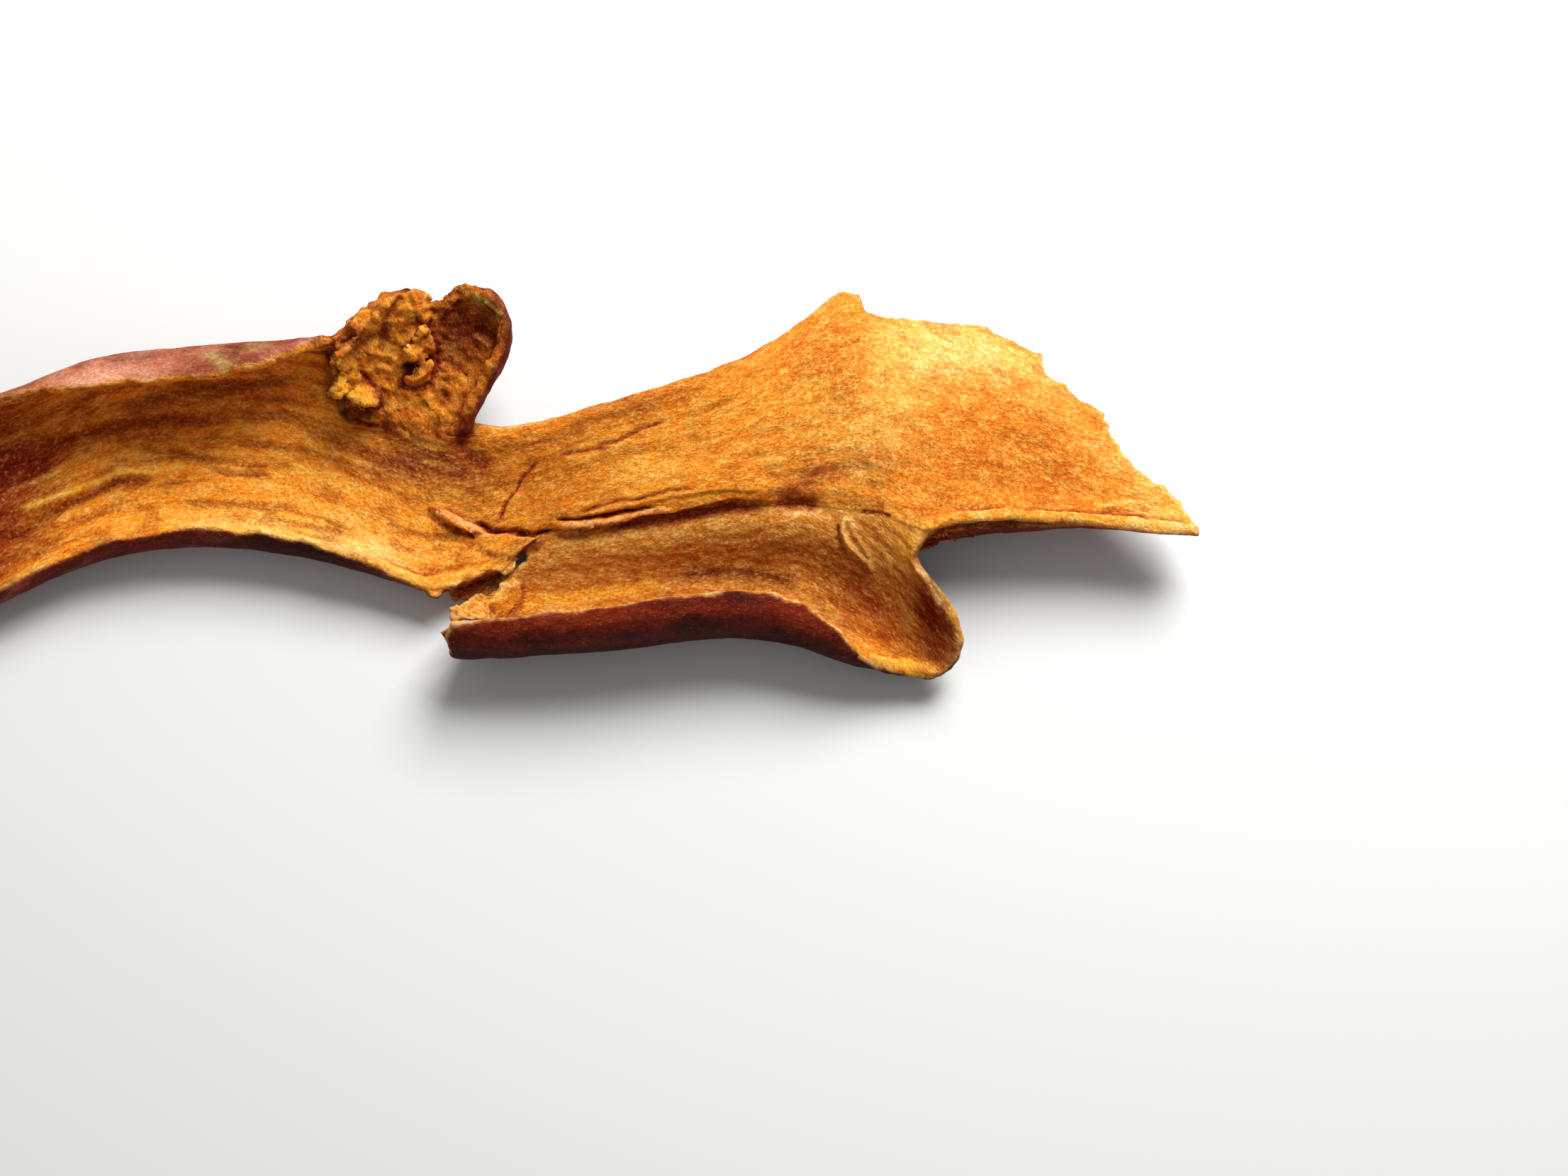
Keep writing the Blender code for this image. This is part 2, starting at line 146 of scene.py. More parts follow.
# Scraps of torn flesh that the solid leaves out: the place of each point of the outline on the photo plane
# with its height, and the scrap's thickness.
SCRAPS = (
    # The torn end of the fold, and the skin that is left in the tear.
    (((-27.5, -2.6, 7), (-27.7, -1.8, 6.4), (-26.8, -1.2, 5.2), (-25.7, -0.7, 3.8), (-24.6, -0.6, 2.6),
      (-24, 0, 2), (-23.3, 0.5, 1.9), (-22.6, 1.2, 2.1), (-21.8, 0.8, 2.1), (-21.8, -0.8, 1.7),
      (-22.8, -2, 1.4), (-23.6, -2.6, 1.8), (-25, -2.6, 5.4)), 0.8),
    (((-27.4, -0.8, 1.2), (-28.2, 0.1, 1.7), (-26.8, 1.3, 2.1), (-24.6, 1.9, 2.3), (-22.6, 2.6, 2.5),
      (-21.8, 1.6, 2), (-22.6, 0.4, 1.5), (-23.8, -0.6, 1.1), (-25.4, -1, 0.9)), 0.5),
    (((-28.6, -3.7, 6.6), (-28.2, -3.3, 6.8), (-27.6, -3.5, 6.9), (-27.2, -4.2, 6.7), (-27.4, -4.8, 6.3),
      (-27.8, -4.1, 6.5)), 0.5),
    # The strip's ragged edge along the tear, and the ragged tongue beside its apex.
    (((-29.8, 0.9, 3.1), (-28.2, 1.3, 2.8), (-26.4, 2.4, 2.6), (-24.6, 2.8, 2.7), (-23, 3.1, 3),
      (-22.2, 2.7, 3.2), (-22.5, 1.7, 3.2), (-23.1, 1.2, 3.1), (-23.7, 1.7, 3.3), (-24.6, 0.8, 3),
      (-25.2, 1.2, 3.2), (-26.2, 0.4, 3), (-26.8, 1, 3.2), (-27.6, -0.2, 3.1), (-28.2, 0.2, 3.3),
      (-28.8, -0.8, 3.1), (-29.4, -0.5, 3.3), (-30.2, 0.4, 3.6)), 0.45),
    (((-25.4, 4.3, 3.2), (-24.4, 4.6, 3.4), (-22.6, 4.45, 3.75), (-21.1, 4.5, 4.15), (-20.6, 4.2, 4.15),
      (-21.7, 3.5, 3.9), (-22.4, 2.6, 3.65), (-24.2, 3, 3.45), (-25.3, 3.5, 3.2)), 0.5),
    # The stub: the flap beside the notch, the flake below it, the shelf at the lobe's foot, the bridge over
    # the notch and the knob's wall beside it.
    (((-30.3, 22.7, 8.3), (-30.8, 22.2, 8.3), (-31.3, 21.4, 8.1), (-32.1, 20.6, 7.7), (-31.9, 20, 7.4),
      (-31.4, 19.4, 7), (-30.7, 19.4, 6.7), (-30.3, 19.9, 6.6), (-29.7, 20.5, 6.6), (-29.7, 21.2, 7.1),
      (-30, 22, 7.8)), 0.7),
    (((-32, 17.9, 5.9), (-31.3, 18.5, 6.2), (-30.5, 19.1, 6.4), (-29.6, 19.4, 6.1), (-29.5, 18.8, 5.7),
      (-30.2, 17.8, 5.5), (-31.1, 17.2, 5.3), (-32, 17.2, 5.3)), 0.5),
    (((-37.8, 19.4, 7.9), (-37.3, 18.8, 7.5), (-37.4, 18.3, 7.2), (-37.9, 17.4, 6.8), (-38.4, 16.6, 6.5),
      (-37.9, 16.3, 6.3), (-37.2, 16.7, 6.2), (-36.7, 16.8, 6.1), (-36.2, 15.7, 5.8), (-35.4, 15.7, 5.6),
      (-34.3, 15.3, 5.2), (-33.9, 15.9, 5.2), (-34.3, 16.8, 5.3), (-35.3, 17.8, 5.9), (-36, 18.8, 6.9),
      (-37, 19.3, 7.6)), 0.5),
    (((-30.9, 24, 9), (-30.2, 24.4, 8.9), (-29.7, 24.7, 8.8), (-28.9, 24.9, 8.9), (-28.5, 24.6, 8.8),
      (-29.1, 23.9, 8.5), (-29.7, 23.5, 8.3), (-30.3, 23, 8.2), (-30.8, 23.2, 8.5)), 0.8),
    (((-29.9, 22.7, 7.9), (-29.4, 23.5, 8.5), (-28.9, 24.9, 9.2), (-28.4, 25.6, 9.5), (-27.6, 26.1, 9.6),
      (-26.9, 26.3, 9.6), (-26.1, 26.1, 9.6), (-25.4, 25.4, 9.8), (-26.6, 25, 9), (-27.7, 24.7, 8.2),
      (-28.6, 23.6, 7.6), (-29.2, 22.5, 7.2)), 1.3),
)
# Splinters: points along the line with their heights, the half width and the thickness.
SPLINTERS = (
    (((-29.8, 6.6, 2.35), (-28.2, 5.7, 2.85), (-26.5, 4.8, 3.15)), 0.2, 0.5),
    (((-28.4, 6.45, 2.7), (-26.7, 5.4, 3.1), (-25, 4.8, 3.25)), 0.17, 0.5),
    (((-19.3, 5.35, 4.5), (-17.5, 5.4, 4.55), (-15, 5.8, 4.75), (-12.5, 6.2, 4.9), (-11, 6.6, 5),
      (-9, 6.9, 5.1)), 0.26, 0.4),
    (((-38, 19.6, 9.3), (-36.5, 21, 9.6), (-35.6, 22.3, 9.7)), 0.35, 0.6),
)
# Lips of skin that hang under the strip's edge in the bay, given the same way. They thin out towards both
# ends over this length, down to this share.
HANGING_LIPS = (
    (((11.2, 2.6, 5.7), (11.3, 3.8, 6.2), (12.5, 4.75, 6.5), (15.8, 5.3, 6.5), (20, 5.4, 6.3),
      (25, 5.2, 6.2)), 0.25, 1.6),
    (((11.3, 2.4, 4.8), (11.6, 3.6, 5.2), (12.9, 4.45, 5.4), (15.8, 4.95, 5.4), (19, 5.15, 5.4)),
     0.22, 1.8),
)
RUN_OUT = 3.5
RUN_OUT_LEAST = 0.1
# The width that a splinter or a lip keeps at its ends.
END_WIDTH = 0.3
# How finely a scrap's outline is broken up, and how far it wanders. Its noise has this many lumps in a
# millimetre, and is looked up this far off for the other direction.
SCRAP_PITCH = 0.33
SCRAP_WANDER = 0.28
SPLINTER_WANDER = 0.04
SCRAP_LUMPS = 2.3
SCRAP_SHIFT = 7.7
# Where the sheet is pushed to fit the photo better: place on the photo plane, reach, and push along x and y.
NUDGES = (
    (12.5, 2.4, 1.9, -1.1, 0.1),
)

# Noise in the relief: its height, the lumps' size along the grain, across it and in depth, octaves and
# shift. The folds have the level of their crests after their height.
FLESH_SWELL = (0.15, (13, 3.0, 3.0), 1, 3.1)
FLESH_FOLDS = (0.12, 0.4, (7, 1.3, 1.3), 2, 7.7)
FLESH_GRAIN = (0.09, (1.0, 0.5, 0.5), 3, 1.3)
SKIN_SWELL = (0.12, (6, 2.0, 2.0), 2, 5.9)
SKIN_GRAIN = (0.05, (1.4, 0.8, 0.8), 2, 2.2)
STUB_LUMPS = (0.26, (3.4, 1.5, 1.5), 2, 4.4)
STUB_FOLDS = (0.4, 0.3, (4.2, 1.9, 1.9), 3, 6.6)
STUB_GRAIN = (0.16, (1.6, 0.55, 0.55), 3, 8.2)
# The stub's folds are on its lobe alone, which starts and is full here along x on the photo plane.
LOBE = (-27.0, -30.0)
RELIEF_LIMITS = (-0.8, 0.6)
# How far marks and patches wander, and their noise: the lumps' size and the shift for each direction.
RAGGED = 0.17
MARK_WANDER = ((2.2, 1.5, 1.5), 0.4, 9.6)
PATCH_RAGGED = 0.9
PATCH_WANDER = ((3, 1.6, 1.6), 6.5, 2.7)
WANDER_OCTAVES = 3
# How many half widths from its line a mark has faded out, and the share of its length over which it fades in
# and out at its ends. For a step, that share, half the width of its edge, and how far it runs past its ends.
FADED = 3
LINE_ENDS = 0.12
STEP_ENDS = 0.08
STEP_EDGE = 0.14
STEP_BEYOND = 0.3

# Lines on the photo plane that are cut in the relief and painted too.
LEFT_RIDGE = ((-64.5, 6.3), (-60.1, 7.8), (-55.8, 9.6), (-52.8, 9.7), (-49.6, 10.5))
LEFT_GROOVE = ((-65.2, 3.3), (-63.5, 4.5), (-61.2, 6.3), (-58.1, 7.9), (-55.7, 9))
WALL_FOOT = ((-63.8, 10.2), (-59.8, 12.6), (-56, 13.9), (-51.5, 14.5), (-47.4, 14.2))
WALL_GROOVE = ((-54.4, 11.9), (-51.4, 11.4), (-47.8, 11.1))
STUB_NECK = ((-26.9, 15.1), (-27.4, 12.9), (-27.1, 11.7), (-25.9, 10.7), (-24.4, 10.2))
CROSS_CRACK = ((-24, 5.4), (-23.1, 7.2), (-22, 9.3), (-20.5, 10.8))
APEX_CRACK = ((-19, 4.7), (-21, 4.6), (-22.8, 4.8), (-24.3, 4.9), (-26, 5.5))
CREASE_CRACK = ((-19.4, 5.75), (-17.5, 5.8), (-15, 6.2), (-12.5, 6.6), (-10.5, 7.05))
SECOND_CRACK = ((-17.5, 6.3), (-14.5, 7.2), (-12.2, 7.6), (-9.2, 8.3), (-6.9, 8.7))
UPPER_CRACK = ((-16.1, 12), (-14, 12.6), (-12.2, 13.4), (-9.9, 14.2))
SHORT_CRACK = ((-18.8, 11.3), (-16.7, 11.6), (-14.6, 12))
CREASE_END = ((6.3, 6.5), (8.2, 6.3), (9.1, 6.1))
CURL = ((6, 5.9), (5.1, 5.8), (4.8, 4.9), (5.5, 3.6), (7, 2.1), (7.6, 1.2))
CURL_WITHIN = ((5.4, 5.8), (5.7, 4.9), (6.6, 3.6), (7.6, 1.8))
CURL_FOOT = ((4.5, 5.5), (4.4, 4.2), (5.2, 2.7))
FAN_GROOVE = ((26.2, 6.6), (28.6, 6.6), (30.7, 6.6))
FAN_RIDGE = ((26.5, 7), (28.3, 7.2), (30.4, 7.2), (32.2, 7.2))
LOBE_GROOVE = ((-32.6, 25.4), (-32.8, 24.3), (-33.6, 22.8), (-33.9, 21.2), (-33.7, 20))
LOBE_FOOT = ((-37.3, 15.1), (-35.8, 14.9), (-34.4, 14.8))
FLAP_RIDGE = ((-30.3, 22.6), (-30.8, 21.9), (-31.5, 21.2), (-31.7, 20), (-30.7, 19.4))
FLAKE_RIDGE = ((-32.1, 17.5), (-31.1, 18), (-30.2, 18.5), (-29.6, 19.5))
KNOB_RIDGE = ((-26.3, 21.6), (-25.5, 21.4), (-24.7, 20.6))
# Marks in the relief, each with its line on the photo plane. Grooves and ridges: height and half width.
# Steps: rise on the left of the line's heading, drop on its right, and how far each reaches. Lumps: place,
# half length, half width, turn in degrees and height.
GROOVES = (
    (LEFT_GROOVE, -0.45, 0.5),
    (((-49, 10.4), (-46.6, 9.6), (-44.8, 9.5), (-42.6, 9.6)), -0.28, 0.22),
    (WALL_FOOT, -0.22, 0.5),
    (WALL_GROOVE, -0.16, 0.4),
    (STUB_NECK, -0.3, 0.7),
    (CROSS_CRACK, -0.26, 0.16),
    (APEX_CRACK, -0.5, 0.2),
    (CREASE_CRACK, -0.45, 0.17),
    (UPPER_CRACK, -0.18, 0.16),
    (SHORT_CRACK, -0.14, 0.16),
    (SECOND_CRACK, -0.2, 0.16),
    (CURL_FOOT, -0.2, 0.25),
    (CREASE_END, -0.22, 0.13),
    (((1.1, 8.4), (3.5, 9.4), (5.6, 10.2), (7.4, 10.5)), -0.28, 0.9),
    (FAN_GROOVE, -0.14, 0.22),
    (LOBE_GROOVE, -0.55, 0.35),
    (((-34.7, 24.8), (-35.1, 23.6), (-35.6, 22.8)), -0.3, 0.3),
    (((-29.9, 18.8), (-28.7, 19.4), (-27.5, 18.6), (-26.6, 18)), -0.25, 0.25),
    (LOBE_FOOT, -0.25, 0.4),
)
RIDGES = (
    (LEFT_RIDGE, 0.45, 0.4),
    (((-46.6, 10.1), (-44.8, 10), (-42.6, 10)), 0.14, 0.2),
    (CURL, 0.4, 0.22),
    (CURL_WITHIN, 0.16, 0.18),
    (((12.6, 5.6), (17.4, 6), (23.3, 5.9), (27.7, 6), (32, 6.2)), 0.12, 0.5),
    (FAN_RIDGE, 0.12, 0.2),
    (((-25.6, 12.3), (-23.5, 12.6), (-22.4, 13.2)), 0.25, 0.5),
    (FLAP_RIDGE, 0.5, 0.45),
    (FLAKE_RIDGE, 0.4, 0.35),
    (KNOB_RIDGE, 0.3, 0.3),
)
STEPS = (
    (((-19.6, 5), (-18.1, 4.9), (-15.7, 5.3), (-13.3, 5.6), (-11, 6.2), (-9.2, 6.4), (-6.9, 7),
      (-4.5, 7.5), (-1.5, 7.4), (-0.5, 7.2)), 0.28, 0.45, 2.2, 1),
    (((-17.5, 5.9), (-15.1, 6.4), (-13.1, 6.8), (-11, 7.4), (-8.6, 7.8), (-6.3, 8.2), (-4.2, 8.3),
      (-1.8, 8.2)), 0.16, 0.1, 1.2, 0.5),
    (((-29.9, 6.8), (-28.7, 6.1), (-26.9, 4.9), (-25.5, 4.3)), 0.35, 0.35, 0.7, 0.5),
    (((-37.8, 19.4), (-37.3, 18.6), (-37.7, 17.8), (-38.3, 16.6), (-37.8, 16.1), (-36.7, 16.7), (-36.4, 15.9),
      (-35.5, 15.5), (-34.3, 15.4), (-33.7, 16.2)), 0.45, 0.45, 1.6, 0.7),
    (((6.7, -5.5), (8.4, -5.2), (10.2, -5.5), (11.9, -6.1)), -0.05, -0.16, 0.8, 1.6),
)
LUMPS = (
    (1.2, 7.1, 2.2, 0.7, 0, -0.75),
    (-12.5, 3, 8, 1.4, 5, 0.12),
    (-25.4, 22.6, 1.5, 1.1, -30, -0.45),
    (-31.5, 18.9, 0.7, 0.5, 20, -0.7),
    (-36.3, 21.2, 1.5, 0.8, 10, -0.4),
    (-32.5, 21.7, 0.8, 1, 0, -0.4),
    (-28.7, 17.8, 0.35, 0.3, 0, -0.35),
    (-26.9, 18.2, 0.35, 0.3, 0, -0.3),
    (-63.9, 12.2, 1.8, 0.9, 10, -0.4),
    (15.3, 6.3, 0.3, 0.3, 0, 0.15),
)

# Colours as they look in soft light.
OCHRE = (1.0, 0.66, 0.23)
ORANGE = (0.88, 0.53, 0.15)
BRIGHT = (1.0, 0.78, 0.32)
YELLOW = (1.0, 0.72, 0.22)
BROWN = (0.62, 0.32, 0.08)
OLIVE = (0.85, 0.61, 0.29)
UMBER = (0.42, 0.18, 0.05)
DARK_RED = (0.46, 0.1, 0.02)
RUST = (0.6, 0.22, 0.06)
PLUM = (0.58, 0.28, 0.14)
CREAM = (1.0, 0.84, 0.54)
PINK = (0.97, 0.68, 0.46)
FLECK = (1.0, 0.82, 0.46)
SKIN = (0.44, 0.12, 0.04)
BLOOM = (1.0, 0.73, 0.6)
MAUVE = (0.8, 0.52, 0.42)
SKIN_DARK = (0.2, 0.05, 0.015)
LICHEN = (0.76, 0.72, 0.4)

# What the flesh starts from: the share of orange at the right, which this stretch along x takes away, and
# the shares of olive in the fold and of orange in the stub.
LEFT_PART = (-18, -30)
RIGHT_ORANGE = 0.35
FOLD_OLIVE = 0.7
STUB_ORANGE = 0.8
# Colour that follows noise on the flesh: the lumps' size, octaves and shift, the colour, its strength, what
# the left part adds to that, and the noise at which it starts and is full.
FLESH_NOISE = (
    ((9, 0.8, 0.8), 3, 1.9, BROWN, 0.12, 0.38, 0.1, 0.5),
    ((9, 0.8, 0.8), 3, 1.9, BRIGHT, 0.15, 0.3, -0.12, -0.6),
    ((2.6, 1.5, 1.5), 3, 4.2, BROWN, 0.22, 0.14, 0.1, 0.5),
)
# Painted shade in the hollows, in dark red: its strength and what the stub adds to that.
HOLLOW_SHADE = (0.5, 0.3)
# The deep pocket in the tear, whose dark red floor also gets painted shade: an oval on the photo plane, and
# the heights where it starts and is full.
SHADED_POCKET = (-25.5, 0.6, 2.6, 0.8, 25)
POCKET_DEPTH = (2.6, 2.2)
# Dark blotches and pale bloom on the skin: the lumps' size, octaves and shift, and then the strength and the
# noise at which each starts and is full.
BLOTCH_NOISE = ((5, 2, 2), 3, 8.8)
BLOTCHES = (0.55, -0.1, 0.5)
BLOOM_NOISE = ((4, 1.8, 1.8), 3, 3.3)
BLOOMING = (0.25, 0.0, 0.5)
# Painted shade darkens the fold's skin towards the paper: its strength, and the heights where it starts and
# is full.
FOLD_SHADE = (0.8, 7.4, 5.0)
# Painted shade where a point lies below its surroundings, and painted highlight where it lies above them:
# the colour, its strength, what the stub adds to that, and the height at which it starts and is full. It
# needs this share of flesh to start and to be full.
FALL_SHADE_AND_HIGHLIGHT = (
    (DARK_RED, 0.75, -0.4, -0.05, -0.3),
    (BRIGHT, 0.5, -0.35, 0.04, 0.25),
)
FALL_FLESH = (0.3, 0.8)
# Cream on the rims: the noise that breaks it up with where it starts and is full, its strength on the edge's
# line and near torn edges, and the shares that the left part and the stub take off.
RIM_BREAKS = ((1.6, 1, 1), 2, 5.1)
RIM_UNBROKEN = (-0.5, 0.1)
EDGE_CREAM = 0.6
TORN_CREAM = 0.5
LEFT_CREAM_LOSS = 0.6
STUB_CREAM_LOSS = 0.7

# Soft patches of colour on the inner face, some of them painted shade and painted highlight as marked: place,
# half length, half width, turn, colour and strength.
FLESH_PATCHES_AND_PAINTED_LIGHT = (
    (-56, 6, 9, 3, 25, OCHRE, 0.5),
    (-63, 8, 3, 7, 0, BROWN, 0.5),
    (-63.2, 10.6, 3, 1.8, 20, DARK_RED, 0.9),
    (-66, 7, 2.6, 10, 0, DARK_RED, 0.9),
    (-62, 1.5, 4, 2, 25, YELLOW, 0.4),
    # Painted shade on the strip's upper inner wall, under its curled rim.
    (-50, 15.5, 9, 1.6, 8, BROWN, 0.5),
    (-44, 11.5, 7, 2.2, 0, YELLOW, 0.35),
    (-42, 5.4, 8, 1.6, -10, BRIGHT, 0.8),
    (-35, 3.6, 5, 1.6, -18, CREAM, 0.6),
    (-31, 10.5, 5.5, 1.5, -4, PLUM, 0.8),
    (-29, 11.3, 4.5, 1.6, -10, UMBER, 0.4),
    # Painted shade below the stub.
    (-31, 13.2, 5, 1.4, 5, BROWN, 0.6),
    (-27, 8.5, 3, 2.5, 0, UMBER, 0.35),
    (-20, 9, 3.5, 3, 0, ORANGE, 0.8),
    (-12, 10, 6, 3, 8, BRIGHT, 0.3),
    (-14, 15, 9, 0.9, 20, BROWN, 0.6),
    # The next two: painted shade in the hollow at the fan's foot and along the groove that runs up to its
    # right.
    (2, 8.9, 2.6, 0.9, 25, RUST, 0.7),
    (6.5, 10.4, 4, 1.2, 10, PLUM, 0.45),
    (5, 13.5, 6, 2.4, 30, BRIGHT, 0.15),
    (18, 13, 15, 9, 0, BROWN, 0.2),
    (24, 10, 9, 6, -35, BROWN, 0.15),
    # Painted shade on the fan's left part.
    (4, 19.5, 4, 3.5, 30, BROWN, 0.35),
    (-17.5, 9.5, 5, 2.5, 0, BROWN, 0.25),
    # The next three: painted highlight on the fan's bright band, its top right and its tip.
    (8.5, 15.5, 8, 4, 55, FLECK, 0.45),
    (15, 20, 8, 3, -12, CREAM, 0.85),
    (29.5, 9.5, 8, 1.8, -42, FLECK, 0.45),
    (26, 7.5, 8, 1.6, 0, OCHRE, 0.4),
    (3, 17, 6, 2.5, 25, BRIGHT, 0.3),
    (17.5, 15.5, 5, 3, -20, ORANGE, 0.6),
    # Painted shade on the fan's left part.
    (5.5, 21.5, 2.2, 4, -10, ORANGE, 0.6),
    (24, 6, 10, 0.8, 0, BRIGHT, 0.4),
    (32, 5.5, 3, 1.2, -20, CREAM, 0.6),
    (-12, 4, 8, 1.3, 8, OLIVE, 0.75),
    (-17, 1, 5, 1.6, 5, OLIVE, 0.5),
    # The next four: painted shade in the fold's channel, on the slope turned away from the light.
    (-6, 2.4, 6, 1.6, 5, BROWN, 0.55),
    (2, 2.6, 4.5, 1.8, -20, BROWN, 0.75),
    (6.5, -0.5, 2.5, 3.5, 35, BROWN, 0.6),
    (7.5, -1.5, 1.6, 3.5, 35, RUST, 0.5),
    (8.5, -4.6, 3.2, 1.5, -15, ORANGE, 0.9),
    (9.5, -6, 3.4, 0.8, -12, YELLOW, 0.8),
    # Painted shadow on the hook's right wall, cast by the fan's waist.
    (12.4, -2.4, 1.3, 4.2, 15, DARK_RED, 0.95),
    (11, 3.4, 1.5, 2.2, 20, YELLOW, 0.7),
    (-33.6, 22.6, 3.8, 2.6, 35, OCHRE, 1),
    (-31.5, 20.2, 2.2, 2, 0, OCHRE, 0.8),
    (-36.4, 21.2, 1.6, 0.9, 0, PLUM, 0.8),
    (-36.2, 17.2, 1.6, 1.4, 0, YELLOW, 0.6),
    (-26.5, 22.3, 2.6, 2.2, 0, DARK_RED, 0.9),
    (-28.2, 21.5, 1.6, 3, 0, PLUM, 0.6),
    (-27, 17.3, 2.6, 1.8, 40, ORANGE, 0.8),
)
# The same on the outer skin, one of them painted shade.
SKIN_PATCHES_AND_PAINTED_SHADE = (
    (-57.5, 17.6, 9, 2.6, 14, BLOOM, 0.9),
    (-42, 20.5, 4, 1.2, 12, MAUVE, 0.7),
    (-47.4, 19.2, 1.5, 0.7, -30, LICHEN, 0.8),
    (-44.5, 20.8, 1.2, 0.4, 10, LICHEN, 0.6),
    (-64, 15.4, 3, 1.2, 0, OCHRE, 0.7),
    # Painted shade on the strip's lower outer wall.
    (-40, 3, 7, 1.2, -12, SKIN_DARK, 0.9),
    (-52, 3.2, 5, 1, 5, DARK_RED, 0.6),
    (-16, -2.6, 14, 0.7, 4, RUST, 0.5),
    (1.5, -2.6, 5, 0.8, -35, RUST, 0.6),
    (-15.5, -1.2, 1, 0.5, 0, UMBER, 0.6),
    (14.6, -3.2, 0.9, 3.2, 15, YELLOW, 0.85),
    (11.8, 0.6, 2.8, 0.8, -62, CREAM, 0.9),
    (10.9, 4.5, 1, 1, 0, BRIGHT, 0.9),
    (-34.5, 25, 2.5, 1.5, 30, ORANGE, 0.9),
)
# Lines of skin that show beside a rim: line, half width, colour and strength.
SKIN_LINES = (
    (((11, 2.2), (11.6, 3.3), (12.9, 4.25), (15.8, 4.7), (20, 4.85), (26, 4.7)), 0.55, SKIN, 0.95),
)
# Lines of colour on the inner face, some of them painted shade: line, half width, colour and strength.
FLESH_LINES_AND_PAINTED_SHADE = (
    (LEFT_RIDGE, 0.3, BRIGHT, 0.85),
    ((*LEFT_GROOVE, (-52, 9.2)), 0.45, BROWN, 0.9),
    (((-49, 10.6), (-46.6, 9.8), (-44.8, 9.7), (-42.6, 9.8)), 0.16, CREAM, 0.6),
    (WALL_FOOT, 0.6, RUST, 0.6),
    (WALL_GROOVE, 0.4, BROWN, 0.5),
    # Painted shade under the strip's curled upper rim.
    (((-56, 15.1), (-51.6, 16.6), (-46.9, 17.2), (-42.7, 17.5), (-40.4, 18.2)), 0.5, UMBER, 0.45),
    (((-51.1, 5.2), (-47, 5.6), (-42.8, 4.9), (-38.7, 3.7), (-34.2, 3), (-30.4, 1.5)), 0.7, CREAM, 0.5),
    (STUB_NECK, 0.6, RUST, 0.8),
    (CROSS_CRACK, 0.16, DARK_RED, 0.7),
    (APEX_CRACK, 0.25, DARK_RED, 0.9),
    (((-29.3, 6.6), (-27.5, 5.8), (-25.7, 4.8), (-24.5, 4.6)), 0.3, PINK, 0.8),
    # Painted shadow beneath the splinter.
    (((-28.6, 4.9), (-27.2, 4), (-25.4, 3.7)), 0.25, BROWN, 0.6),
    (UPPER_CRACK, 0.14, DARK_RED, 0.7),
    (SHORT_CRACK, 0.14, DARK_RED, 0.6),
    (((-19.4, 5.1), (-15.7, 5.6), (-13.3, 5.9), (-11, 6.6), (-9.2, 6.9)), 0.22, PINK, 0.8),
    (CREASE_CRACK, 0.17, DARK_RED, 0.85),
    (SECOND_CRACK, 0.14, DARK_RED, 0.6),
    # Painted shadow under the crease's lip.
    (((-15, 4.9), (-11, 5.6), (-8.6, 5.9), (-6.3, 6.4), (-4.5, 6.8), (-1.5, 6.8)), 0.42, DARK_RED, 0.75),
    (((-8, 7.8), (-5, 8.15), (-1, 7.8)), 0.25, YELLOW, 0.6),
    # Painted shade in the hollow at the fan's foot.
    (((-0.9, 7.3), (0.5, 7), (2.9, 7)), 0.65, DARK_RED, 0.75),
    (((-0.3, 6.3), (1.4, 6.15), (3.1, 6.3)), 0.16, CREAM, 0.7),
    (CURL, 0.2, CREAM, 0.85),
    (CURL_WITHIN, 0.16, CREAM, 0.4),
    (CURL_FOOT, 0.3, BROWN, 0.6),
    (CREASE_END, 0.12, UMBER, 0.7),
    (FAN_RIDGE, 0.14, CREAM, 0.6),
    (FAN_GROOVE, 0.2, BROWN, 0.5),
    (((-25, -1.2), (-20.9, -1.1), (-16.8, -0.8), (-13.3, -0.2), (-9.8, 0.5)), 0.6, YELLOW, 0.7),
    # Painted shade in the fold's channel under its overhanging rim.
    (((-9, 0.9), (-6.8, 1.3), (-3.9, 1.4), (-0.9, 1), (1.4, 0.2)), 0.5, UMBER, 0.6),
    (LOBE_GROOVE, 0.35, BROWN, 0.6),
    (FLAP_RIDGE, 0.5, OCHRE, 0.7),
    (FLAKE_RIDGE, 0.35, ORANGE, 0.8),
    (((-37.4, 19), (-37, 17.8), (-37.7, 16.8), (-36.4, 16.4), (-35.5, 15.9), (-34.3, 15.8)),
     0.4, YELLOW, 0.8),
    (((-26.4, 25.4), (-26, 24.7), (-25.3, 24.3), (-24.7, 23.7), (-23.6, 23.4)), 0.5, LICHEN, 0.7),
    (KNOB_RIDGE, 0.25, PINK, 0.7),
    # Painted shade in the pit under the stub's flap.
    (((-32, 19.1), (-31.4, 18.8), (-31, 19.1)), 0.4, SKIN_DARK, 0.9),
    # Painted shadow below the shelf at the lobe's foot.
    (LOBE_FOOT, 0.4, UMBER, 0.8),
)

# The finest grain: the lumps' size along the grain, across it and in depth, detail, roughness and shift.
COARSE = ((1.2, 0.65, 0.65), 6, 0.7, 0)
FINE = ((0.32, 0.19, 0.19), 4, 0.65, 5)
DUST = ((0.17, 0.13, 0.13), 2, 0.5, 11)
